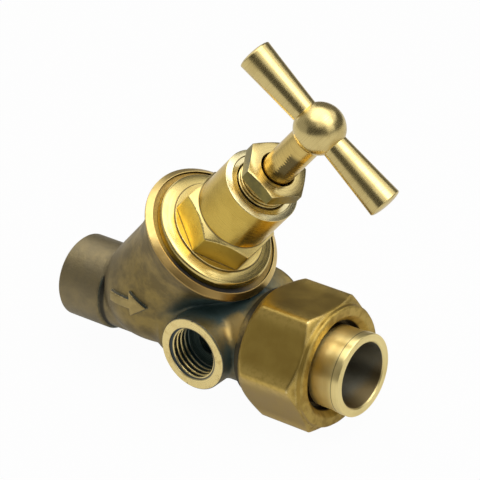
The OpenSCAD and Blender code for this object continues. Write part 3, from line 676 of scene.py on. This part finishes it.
class Shader:
    """One metallic or plain material and short names for the nodes that it is made of."""

    def __init__(self, name, metallic, roughness):
        self.mat = bpy.data.materials.new(name)
        self.mat.use_nodes = True
        self.tree = self.mat.node_tree
        self.bsdf = self.tree.nodes["Principled BSDF"]
        self.bsdf.inputs["Metallic"].default_value = metallic
        self.bsdf.inputs["Roughness"].default_value = roughness
        self.place = self.node("ShaderNodeTexCoord").outputs["Object"]
        self.seed = 0.0

    def node(self, kind, settings=(), **sockets):
        made = self.tree.nodes.new(kind)
        for key, value in dict(settings).items():
            setattr(made, key, value)
        for key, value in sockets.items():
            self.put(made.inputs[int(key[1:]) if key[0] == "_" else key.replace("_", " ")], value)
        return made

    def put(self, socket, value):
        if isinstance(value, bpy.types.NodeSocket):
            self.tree.links.new(value, socket)
        elif socket.type == "RGBA":
            socket.default_value = (*value, 1.0)
        else:
            socket.default_value = value

    def math(self, operation, a, b=0.0, c=0.0):
        return self.node("ShaderNodeMath", {"operation": operation}, _0=a, _1=b, _2=c).outputs[0]

    def vector(self, operation, a, b=(0, 0, 0), out=0):
        return self.node("ShaderNodeVectorMath", {"operation": operation}, _0=a, _1=b).outputs[out]

    def span(self, value, low, high, to_low=0.0, to_high=1.0):
        made = self.node("ShaderNodeMapRange", {"interpolation_type": "SMOOTHSTEP"}, Value=value,
                         From_Min=low, From_Max=high, To_Min=to_low, To_Max=to_high)
        return made.outputs["Result"]

    def within(self, value, low, high, soft=0.06):
        """Share of a range that is given in millimetres."""
        return self.math("MULTIPLY", self.span(value, (low - soft) * MM, (low + soft) * MM),
                         self.span(value, (high - soft) * MM, (high + soft) * MM, 1.0, 0.0))

    def noise(self, scale, detail=3.0, rough=0.55, stretch=None):
        """Noise over the piece; scale is in features per metre."""
        self.seed += 1.7
        place = self.vector("ADD", self.place, (self.seed, 0.3 * self.seed, -self.seed))
        if stretch is not None:
            place = self.vector("MULTIPLY", place, stretch)
        made = self.node("ShaderNodeTexNoise", {}, Vector=place, Scale=scale, Detail=detail,
                         Roughness=rough)
        return made.outputs["Fac"]

    def along(self, origin, axis):
        """Distances in metres along and from an axis of the valve."""
        rel = self.vector("SUBTRACT", self.place, tuple(MM * v for v in origin))
        s = self.vector("DOT_PRODUCT", rel, tuple(axis), 1)
        whole = self.vector("LENGTH", rel, out=1)
        square = self.math("SUBTRACT", self.math("MULTIPLY", whole, whole), self.math("MULTIPLY", s, s))
        return s, self.math("SQRT", self.math("MAXIMUM", square, 0.0))

    def tool_marks(self, origin, axis, pitch, detail=2.0):
        """Uneven rings left by a lathe tool, on round and on faced surfaces alike."""
        s, r = self.along(origin, axis)
        feed = self.math("MULTIPLY_ADD", r, 0.83, s)
        made = self.node("ShaderNodeTexNoise", {"noise_dimensions": "1D"}, W=feed,
                         Scale=1.0 / (pitch * MM), Detail=detail, Roughness=0.6)
        return made.outputs["Fac"]

    def spot(self, centre, low, high, stretch=(1.0, 1.0, 1.0)):
        """Share of a ragged patch round a point: 1 within low, 0 beyond high, in millimetres."""
        rel = self.vector("SUBTRACT", self.place, tuple(MM * v for v in centre))
        away = self.vector("LENGTH", self.vector("MULTIPLY", rel, stretch), out=1)
        away = self.math("MULTIPLY_ADD", self.noise(500, 3, 0.6), 3.0 * MM, away)
        return self.span(away, low * MM, high * MM, 1.0, 0.0)

    def mix(self, share, a, b):
        made = self.node("ShaderNodeMix", {"data_type": "RGBA"})
        self.put(made.inputs[0], share)
        self.put(made.inputs[6], a)
        self.put(made.inputs[7], b)
        return made.outputs[2]

    def bevel(self, radius, samples=4):
        return self.node("ShaderNodeBevel", {"samples": samples}, Radius=radius * MM).outputs[0]

    def edge(self, rounded, low=0.02, high=0.16):
        """Share of edge: where the rounded normal leaves the true one."""
        normal = self.node("ShaderNodeNewGeometry").outputs["Normal"]
        return self.span(self.vector("DOT_PRODUCT", rounded, normal, 1), 1.0 - low, 1.0 - high)

    def bump(self, height, depth, normal=None):
        made = self.node("ShaderNodeBump", {}, Strength=1.0, Distance=depth * MM, Height=height)
        if normal is not None:
            self.put(made.inputs["Normal"], normal)
        return made.outputs[0]

    def done(self, colour, roughness=None, normal=None):
        self.put(self.bsdf.inputs["Base Color"], colour)
        if roughness is not None:
            self.put(self.bsdf.inputs["Roughness"], roughness)
        if normal is not None:
            self.put(self.bsdf.inputs["Normal"], normal)
        return self.mat


BONNET_LINE = (BONNET.translation, (math.cos(BONNET_ANGLE), 0.0, math.sin(BONNET_ANGLE)))
PIPE_LINE = ((0.0, 0.0, 0.0), (1.0, 0.0, 0.0))
DRAIN_LINE = ((DRAIN_X, 0.0, 0.0), (0.0, -1.0, 0.0))
ARM_LINE = (BONNET @ Vector((0, 0, BALL_LEVEL)),
            BONNET.to_3x3() @ Vector((math.cos(math.radians(ARM_TURN)), math.sin(math.radians(ARM_TURN)), 0)))


LOW_SIDE = tuple(BONNET.to_3x3() @ Vector((0.616, -0.788, 0.0)))     # low side of the bonnet: the gasket is painted dark as shade there, hexagon flats facing it are painted darker, and the faced rim is browner towards it
SHADED_HOLLOW_AT = (44.5, -6.5, 9.8)       # centre of the painted shade in the hollow between rim, drain boss and run
PAINTED_HIGHLIGHT_AT = (51.8, -8.2, 6.6)      # centre of a painted highlight, a golden patch on the run beside the nut


def cast_material(name, dark, light):
    """Sand-cast brass, tumbled: olive to brown, finely pitted, with painted shade in the corners, hollows and
    gaps and a painted highlight on worn edges and on a patch of the run.
    """
    sh = Shader(name, 1.0, 0.45)
    rounded = sh.bevel(0.25)
    patches = sh.noise(230, 4, 0.6)
    stain = sh.noise(420, 3, 0.6)
    colour = sh.mix(sh.span(patches, 0.36, 0.66), dark, light)
    colour = sh.mix(sh.span(stain, 0.50, 0.70, 0.0, 0.4), colour, tuple(0.62 * v + 0.03 for v in light))
    x, r = sh.along(*PIPE_LINE)
    colour = sh.mix(sh.span(x, 6.0 * MM, 30.0 * MM, 0.7, 0.0), colour, (0.262, 0.22, 0.138))
    # worn edges, brightened further as a painted highlight
    colour = sh.mix(sh.math("MULTIPLY", sh.edge(rounded), 0.6), colour, (0.62, 0.48, 0.20))
    # painted shade: hollows that are closed in within 9 mm, and a patch round the hollow between rim, drain
    # boss and run, turn teal-black
    hollow = sh.node("ShaderNodeAmbientOcclusion", {"samples": 6}, Distance=9.0 * MM).outputs["AO"]
    crease = sh.node("ShaderNodeAmbientOcclusion", {"samples": 6}, Distance=0.9 * MM).outputs["AO"]
    # painted shade: tight corners and creases turn nearly black
    colour = sh.mix(sh.span(crease, 0.45, 0.86), (0.045, 0.04, 0.03), colour)
    painted_hollow_shade = sh.math("MAXIMUM", sh.span(hollow, 0.28, 0.82, 1.0, 0.0),
                    sh.math("MULTIPLY", sh.spot(SHADED_HOLLOW_AT, 5.0, 8.5, (0.6, 1.0, 1.0)), 0.9))
    colour = sh.mix(painted_hollow_shade, colour, (0.080, 0.142, 0.142))
    # painted shade in the groove behind the socket collar and from the shoulder on towards the nut
    shoulder = sh.span(x, (SHOULDER_X - 1.2) * MM, (SHOULDER_X - 0.4) * MM, 0.0, 0.8)
    groove = sh.math("MULTIPLY", sh.span(x, (SOCKET_LEN - 0.1) * MM, (SOCKET_LEN + 0.2) * MM),
                     sh.span(x, (SOCKET_LEN + 0.9) * MM, (SOCKET_LEN + 1.7) * MM, 1.0, 0.0))
    groove = sh.math("MULTIPLY", groove, sh.span(r, (SOCKET_R - 0.35) * MM, (SOCKET_R - 0.05) * MM, 1.0, 0.0))
    painted_shade_rings = sh.math("MAXIMUM", sh.math("MULTIPLY", groove, 0.85), shoulder)
    colour = sh.mix(painted_shade_rings, colour, (0.03, 0.032, 0.03))
    # painted highlight: a golden patch on the run beside the nut
    colour = sh.mix(sh.math("MULTIPLY", sh.spot(PAINTED_HIGHLIGHT_AT, 3.6, 6.2), 0.8), colour, (0.66, 0.45, 0.14))
    grain = sh.noise(2100, 3, 0.65)
    waves = sh.noise(330, 2, 0.5)
    pits = sh.noise(1000, 2, 0.5)
    normal = sh.bump(waves, 0.09, rounded)
    normal = sh.bump(pits, 0.036, normal)
    normal = sh.bump(grain, 0.035, normal)
    # where the hollows get painted shade the metal is also made dull, like a non-metal
    sh.put(sh.bsdf.inputs["Metallic"], sh.math("MULTIPLY_ADD", painted_hollow_shade, -0.7, 1.0))
    return sh.done(colour, sh.span(patches, 0.3, 0.7, 0.50, 0.44), normal)


def turned_material(name, line, light, dark, rough=(0.20, 0.32), marks=0.16, depth=0.003,
                    blotch=0.35, streak=0.5, hexagon_r=None, bore_r=None, reach=None, edge_wear_and_highlight=0.6,
                    crease=None, bands=(), painted_shade_rings=(), painted_dark_reflection=None, low_side=None,
                    bar=((0.82, 0.55, 0.085), (0.68, 0.46, 0.10))):
    """Lathe-turned brass: fine uneven tool rings, slight tarnish, worn edges brightened further as a painted
    highlight.

    hexagon_r is the least radius at which flats parallel to the axis are bar stock without rings,
    bore_r the radius inside which the metal is dull and painted dark as shade, and reach how far in
    millimetres a hollow has to be open to escape the painted shade of closed-in hollows."""
    sh = Shader(name, 1.0, rough[0])
    rounded = sh.bevel(0.14)
    rings = sh.tool_marks(*line, marks)
    waves = sh.tool_marks(*line, marks * 6, 1.0)
    tarnish = sh.noise(170, 3, 0.6)
    share = sh.math("MULTIPLY", sh.span(tarnish, 0.42, 0.68), blotch)
    s, r = sh.along(*line)
    for low, high, light_band, dark_band in bands:
        inside = sh.within(s, low, high)
        light, dark = sh.mix(inside, light, light_band), sh.mix(inside, dark, dark_band)
    colour = sh.mix(share, light, dark)
    colour = sh.mix(sh.span(rings, 0.35, 0.7, 0.0, 0.25), colour, dark)
    roughness = sh.math("ADD", sh.span(rings, 0.3, 0.7, rough[0], rough[1]),
                        sh.span(tarnish, 0.4, 0.7, 0.0, 0.06))
    height = rings
    if hexagon_r is not None:
        facing = sh.node("ShaderNodeNewGeometry").outputs["Normal"]
        upright = sh.math("ABSOLUTE", sh.vector("DOT_PRODUCT", facing, tuple(line[1]), 1))
        flat = sh.math("MULTIPLY", sh.span(upright, 0.02, 0.15, 1.0, 0.0),
                       sh.span(r, (hexagon_r - 0.1) * MM, (hexagon_r + 0.1) * MM))
        cloud = sh.noise(420, 4, 0.65)
        stock = sh.mix(sh.span(cloud, 0.35, 0.7), *bar)
        # painted shade: flats that face the low side are darker
        if low_side is not None:
            under = sh.vector("DOT_PRODUCT", facing, low_side, 1)
            stock = sh.mix(sh.span(under, 0.7, 0.95), stock, (0.52, 0.355, 0.055))
        colour = sh.mix(flat, colour, stock)
        roughness = sh.math("ADD", roughness, sh.math("MULTIPLY", flat, 0.08))
        height = sh.math("MULTIPLY", rings, sh.math("SUBTRACT", 1.0, flat))
    # painted shade inside the bore: brown near the mouth, blue-grey further in
    if bore_r is not None:
        bore_shade = sh.span(r, (bore_r - 0.1) * MM, (bore_r + 0.05) * MM, 1.0, 0.0)
        outward = sh.vector("DOT_PRODUCT", sh.place, (1.0, 0.0, -0.6), 1)
        outward = sh.math("MULTIPLY_ADD", sh.noise(260, 3, 0.6), 3.0 * MM, outward)
        deeper_bore_shade = sh.span(outward, (TAIL_END_X - 0.5) * MM, (TAIL_END_X + 3.0) * MM, 1.0, 0.0)
        bore = sh.mix(deeper_bore_shade, (0.19, 0.118, 0.070), (0.130, 0.160, 0.205))
        colour = sh.mix(bore_shade, colour, bore)
        roughness = sh.math("ADD", roughness, sh.math("MULTIPLY", bore_shade, 0.12))
    # worn edges, brightened further as a painted highlight
    colour = sh.mix(sh.math("MULTIPLY", sh.edge(rounded), edge_wear_and_highlight), colour, (0.93, 0.80, 0.48))
    # darker and browner towards the low side
    if low_side is not None and hexagon_r is None:
        rel = sh.vector("SUBTRACT", sh.place, tuple(MM * v for v in line[0]))
        side = sh.math("MULTIPLY_ADD", sh.noise(500, 4, 0.65), 8.0 * MM,
                       sh.vector("DOT_PRODUCT", rel, low_side, 1))
        colour = sh.mix(sh.span(side, 9.0 * MM, 17.0 * MM, 0.0, 0.75), colour, (0.36, 0.215, 0.065))
    # painted reflection: a toothed dark patch on one side of the shaft
    if painted_dark_reflection is not None:
        low, high, towards, reach_out, tooth = painted_dark_reflection
        rel = sh.vector("SUBTRACT", sh.place, tuple(MM * v for v in line[0]))
        side = sh.vector("DOT_PRODUCT", rel, tuple(towards), 1)
        teeth = sh.math("SINE", sh.math("MULTIPLY", s, 2 * math.pi / (tooth * MM)))
        side = sh.math("MULTIPLY_ADD", teeth, 0.12 * MM, side)
        side = sh.math("MULTIPLY_ADD", sh.noise(600, 3, 0.6), 0.9 * MM, side)
        patch = sh.math("MULTIPLY", sh.span(side, (reach_out + 0.35) * MM, (reach_out + 0.55) * MM),
                        sh.within(s, low, high, 0.8))
        colour = sh.mix(sh.math("MULTIPLY", patch, 0.92), colour, (0.11, 0.082, 0.034))
    # painted shade in the given rings
    for r_low, r_high, s_low, s_high, share in painted_shade_rings:
        painted_shade_ring = sh.math("MULTIPLY", sh.within(r, r_low, r_high), sh.within(s, s_low, s_high))
        colour = sh.mix(sh.math("MULTIPLY", painted_shade_ring, share), colour, (0.10, 0.068, 0.03))
    # painted shade in tight corners
    if crease is not None:
        tight = sh.node("ShaderNodeAmbientOcclusion", {"samples": 6}, Distance=crease * MM).outputs["AO"]
        colour = sh.mix(sh.span(tight, 0.45, 0.85), (0.10, 0.07, 0.03), colour)
    # painted shade in closed-in hollows
    if reach is not None:
        hollow = sh.node("ShaderNodeAmbientOcclusion", {"samples": 6}, Distance=reach * MM).outputs["AO"]
        colour = sh.mix(sh.span(hollow, 0.12, 0.62), (0.028, 0.027, 0.026), colour)
    normal = sh.bump(height, depth, rounded)
    normal = sh.bump(waves, depth * 2.0, normal)
    if streak:
        rel = sh.vector("SUBTRACT", sh.place, tuple(MM * v for v in line[0]))
        sh.bsdf.inputs["Anisotropic"].default_value = streak
        sh.bsdf.inputs["Anisotropic Rotation"].default_value = 0.25
        sh.put(sh.bsdf.inputs["Tangent"],
               sh.vector("NORMALIZE", sh.vector("CROSS_PRODUCT", tuple(line[1]), rel)))
    return sh.done(colour, roughness, normal)


def drain_material():
    """Faced and tapped boss: bright face and thread crests, worn edges brightened as a painted highlight,
    painted shade in the thread's valleys and deep in the hole.
    """
    sh = Shader("tapped_brass", 1.0, 0.24)
    rounded = sh.bevel(0.12)
    s, r = sh.along(*DRAIN_LINE)
    rings = sh.tool_marks(*DRAIN_LINE, 0.3)
    nicks = sh.noise(560, 4, 0.7)
    colour = sh.mix(sh.span(nicks, 0.48, 0.72, 0.0, 0.6), (0.97, 0.78, 0.34), (0.66, 0.46, 0.16))
    dents = sh.math("MULTIPLY", sh.span(sh.noise(900, 2, 0.5), 0.63, 0.70),
                    sh.span(r, (DRAIN_THREAD_R + 0.9) * MM, (BOSS_R - 0.2) * MM))
    colour = sh.mix(sh.math("MULTIPLY", dents, 0.8), colour, (0.10, 0.06, 0.02))
    # worn edges, brightened further as a painted highlight
    colour = sh.mix(sh.math("MULTIPLY", sh.edge(rounded), 0.7), colour, (0.98, 0.88, 0.60))
    # painted shade in the thread's valleys below the face and deep in the hole, where the metal is also dulled
    valley = sh.span(r, (DRAIN_MINOR_R + 0.12) * MM, (DRAIN_MINOR_R + 0.42) * MM)
    below = sh.span(s, (DRAIN_FACE - 0.25) * MM, (DRAIN_FACE - 0.05) * MM, 1.0, 0.0)
    valley_shade = sh.math("MULTIPLY", valley, below)
    colour = sh.mix(valley_shade, colour, (0.042, 0.060, 0.064))
    depth = sh.span(s, (DRAIN_FACE - DRAIN_DEPTH - 0.6) * MM, (DRAIN_FACE - 2.0) * MM, 1.0, 0.0)
    colour = sh.mix(depth, colour, (0.045, 0.108, 0.122))
    sh.put(sh.bsdf.inputs["Metallic"],
           sh.math("MULTIPLY_ADD", sh.math("MAXIMUM", valley_shade, depth), -0.7, 1.0))
    return sh.done(colour, sh.span(rings, 0.3, 0.7, 0.20, 0.32), sh.bump(rings, 0.002, rounded))


def nut_material():
    """Hot-pressed union nut: satin olive flats, turned front cone, worn corners, a painted highlight on the
    front edges and painted shade on the hole's wall.
    """
    sh = Shader("pressed_brass", 1.0, 0.36)
    rounded = sh.bevel(0.9, 6)
    patches = sh.noise(170, 4, 0.6)
    colour = sh.mix(sh.span(patches, 0.35, 0.68), (0.40, 0.262, 0.056), (0.46, 0.312, 0.070))
    facing = sh.node("ShaderNodeNewGeometry").outputs["Normal"]
    front = sh.math("ABSOLUTE", sh.vector("DOT_PRODUCT", facing, PIPE_LINE[1], 1))
    front = sh.span(front, 0.15, 0.45)
    streaks = sh.noise(500, 3, 0.6)
    colour = sh.mix(front, colour, sh.mix(sh.span(streaks, 0.4, 0.65), (0.57, 0.41, 0.11), (0.42, 0.285, 0.07)))
    s, r = sh.along(*PIPE_LINE)
    worn = sh.span(r, (NUT_AF / 2 + 0.45) * MM, (NUT_AF / 2 + 1.6) * MM)
    worn = sh.math("MULTIPLY", worn, sh.span(sh.noise(900, 3, 0.6), 0.25, 0.6, 0.4, 0.9))
    colour = sh.mix(worn, colour, (0.68, 0.48, 0.13))
    # painted highlight along the edges of the front cone
    front_x = NUT_BACK_X + NUT_LEN
    painted_edge_highlight = sh.span(s, (front_x - 4.2) * MM, (front_x - 2.6) * MM, 0.3, 1.0)
    painted_edge_highlight = sh.math("MULTIPLY", sh.edge(rounded, 0.008, 0.06), painted_edge_highlight)
    painted_edge_highlight = sh.math("MULTIPLY", painted_edge_highlight, sh.span(r, (NUT_COLLAR_R + 0.1) * MM, (NUT_COLLAR_R + 0.5) * MM))
    colour = sh.mix(painted_edge_highlight, colour, (1.0, 0.84, 0.46))
    # painted shade on the wall of the hole
    hole = sh.span(r, (NUT_HOLE_R + 0.05) * MM, (NUT_HOLE_R + 0.35) * MM, 0.85, 0.0)
    colour = sh.mix(hole, colour, (0.045, 0.036, 0.03))
    rings = sh.tool_marks(*PIPE_LINE, 0.2)
    grain = sh.noise(3000, 2, 0.6)
    normal = sh.bump(grain, 0.008, rounded)
    normal = sh.bump(rings, 0.002, normal)
    roughness = sh.math("MULTIPLY_ADD", front, 0.16, sh.span(patches, 0.3, 0.7, 0.30, 0.40))
    roughness = sh.math("MULTIPLY_ADD", painted_edge_highlight, -0.14, roughness)
    return sh.done(colour, roughness, normal)


def gasket_material():
    """Brown vulcanised fibre, painted nearly black as shade on the low side of the bonnet."""
    sh = Shader("fibre_gasket", 0.0, 0.45)
    fine = sh.noise(2500, 4, 0.7)
    s, r = sh.along(*BONNET_LINE)
    rel = sh.vector("SUBTRACT", sh.place, tuple(MM * v for v in BONNET.translation))
    low = sh.span(sh.vector("DOT_PRODUCT", rel, LOW_SIDE, 1), 0.0065, 0.0125)
    colour = sh.mix(sh.span(fine, 0.3, 0.7), (0.60, 0.40, 0.08), (0.42, 0.265, 0.05))
    # painted shade, nearly black, on the low side of the bonnet
    colour = sh.mix(low, colour, (0.018, 0.018, 0.018))
    return sh.done(colour, sh.span(fine, 0.3, 0.7, 0.35, 0.5), sh.bump(fine, 0.02, sh.bevel(0.1)))


def plain_material(name, light, dark, rough, scale, depth, metallic=0.0):
    """Pressed fibre, packing cord, rubber or spring steel."""
    sh = Shader(name, metallic, rough)
    fine = sh.noise(scale, 4, 0.7)
    broad = sh.noise(scale / 8, 2, 0.5)
    colour = sh.mix(sh.span(broad, 0.35, 0.65), dark, light)
    return sh.done(colour, sh.span(fine, 0.3, 0.7, rough - 0.08, rough + 0.08),
                   sh.bump(fine, depth, sh.bevel(0.1)))


def give(mat, *names):
    for name in names:
        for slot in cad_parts[name].material_slots:
            slot.material = mat


# The scene

bpy.context.scene.view_settings.view_transform = "Standard"
for spare in ("Cube", "Light", "Camera"):
    if spare in bpy.data.objects:
        bpy.data.objects.remove(bpy.data.objects[spare])

make_camera()
make_world()
make_floor(CAD_BOX[0].z)
make_lamp("lamp_top", 20, 86, 0.8, 0.95, 1.35)
make_lamp("lamp_key", 8, 50, 0.9, 0.55, 1.5)
make_card("card_front", (-108, -20), (-14, 34), 0.075)
make_card("card_right", (-20, 16), (-14, 12), 0.28)
make_card("card_far_right", (16, 84), (-14, 29), 0.08)
make_card("card_back", (84, 137), (-5, 50), 0.17)
make_card("card_left", (-180, -108), (-14, 48), 0.38)
make_card("card_upper_left", (-140, -66), (30, 52), 0.2, 0.93)

CAST = cast_material("cast_brass_skin", (0.225, 0.168, 0.066), (0.365, 0.265, 0.086))
# a copy of the cast material painted dark as shade, for the flanks of the arrow
CAST_FLANK_SHADED = cast_material("cast_brass_flank_painted_shade", (0.045, 0.036, 0.022), (0.085, 0.065, 0.035))
CAST_TOP = cast_material("cast_brass_worn", (0.42, 0.315, 0.12), (0.58, 0.44, 0.17))
FACED = turned_material("faced_brass", BONNET_LINE, (0.88, 0.65, 0.24), (0.58, 0.41, 0.13),
                        (0.24, 0.34), 0.22, 0.003, 0.5, reach=7.0, low_side=LOW_SIDE)
TAPPED = drain_material()
BRIGHT = turned_material("bonnet_brass", BONNET_LINE, (0.84, 0.66, 0.25), (0.62, 0.44, 0.12),
                         (0.17, 0.28), hexagon_r=9.3, edge_wear_and_highlight=0.45, crease=0.45, low_side=LOW_SIDE,
                         bands=((40.2, NECK_TOP - 0.5, (0.76, 0.54, 0.115), (0.56, 0.38, 0.07)),
                                (NECK_TOP - 0.45, NECK_TOP + 0.5, (0.95, 0.84, 0.48), (0.84, 0.68, 0.32))),
                         # painted shade: dark rings at the foot of the pad, of the neck and of the neck's top
                         # step
                         painted_shade_rings=((PAD_R - 0.05, PAD_R + 0.25, 32.7, PAD_LEVEL - 0.12, 0.65),
                               (8.9, 9.12, 39.9, 40.4, 0.65), (7.3, 7.5, 52.0, 52.35, 0.65)),
                         bar=((0.96, 0.71, 0.13), (0.84, 0.60, 0.105)))
GLAND = turned_material("gland_brass", BONNET_LINE, (0.84, 0.67, 0.28), (0.58, 0.42, 0.15),
                        (0.17, 0.28), hexagon_r=5.6, crease=0.6,
                        bar=((0.26, 0.215, 0.065), (0.17, 0.15, 0.055)))
TAIL = turned_material("tail_brass", PIPE_LINE, (1.0, 0.83, 0.37), (0.83, 0.64, 0.25),
                       (0.30, 0.40), 0.2, 0.0015, streak=0.8, bore_r=7.6,
                       # painted shade in a ring at the top of the end flare and on the tail inside the nut's
                       # hole
                       painted_shade_rings=((TAIL_R, TAIL_END_R + 0.1, TAIL_END_X - 1.9, TAIL_END_X - 1.65, 0.65),
                             (TAIL_R - 0.2, TAIL_COLLAR_R + 0.2, TAIL_X + 1, TAIL_FOOT_X, 0.92)))
LEVER = turned_material("handle_brass_bright", ARM_LINE, (0.81, 0.65, 0.28), (0.56, 0.42, 0.16),
                        (0.20, 0.29), 0.30, 0.001, 0.45, 0.45)
SHAFT = turned_material("spindle_brass", BONNET_LINE, (0.78, 0.58, 0.19), (0.50, 0.34, 0.11),
                        (0.16, 0.24), 0.4, 0.012, 0.25, 0.3,
                        # painted dark reflection on the shaft
                        painted_dark_reflection=(60.6, 68.4, BONNET.to_3x3() @ Vector((0.574, -0.819, 0.0)), 3.3, 0.75))

body = make_body()
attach(body, "valve_body")
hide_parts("body")

thread = thread_sleeve("drain_thread", DRAIN, DRAIN_THREAD_R, DRAIN_MINOR_R, DRAIN_PITCH,
                       DRAIN_FACE - DRAIN_DEPTH, DRAIN_FACE - 0.02, DRAIN_THREAD_R + 0.4, True,
                       DRAIN_THREAD_R + 0.1)
thread.data.materials.append(TAPPED)
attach(thread, "valve_body")

gland = make_gland_nut()
gland.data.materials.clear()
gland.data.materials.append(GLAND)
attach(gland, "valve_body")
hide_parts("gland_nut")

for piece, node, mat, slot in ((make_bonnet(), "bonnet", BRIGHT, "turned_brass"),
                               (make_union_nut(), "union_nut", nut_material(), "nut_brass"),
                               (make_tail(), "union_tail", TAIL, "turned_brass")):
    piece.data.materials.append(mat)
    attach(piece, "valve_body")
    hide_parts(node)
    give(mat, node)

give(BRIGHT, "gland_ring", "disc_holder", "disc_nut")
give(GLAND, "gland_nut")
give(CAST, "body")
give(SHAFT, "spindle")
give(LEVER, "handle")
give(gasket_material(), "bonnet_gasket", "union_gasket")
give(plain_material("packing_cord", (0.10, 0.095, 0.085), (0.05, 0.048, 0.045), 0.75, 1800, 0.05),
     "packing_ring_lower", "packing_ring_middle", "packing_ring_upper")
give(plain_material("washer_rubber", (0.03, 0.03, 0.03), (0.018, 0.018, 0.018), 0.6, 3000, 0.01),
     "valve_washer")
give(plain_material("ring_steel", (0.55, 0.55, 0.56), (0.42, 0.42, 0.43), 0.3, 2000, 0.004, 1.0),
     "retaining_ring")
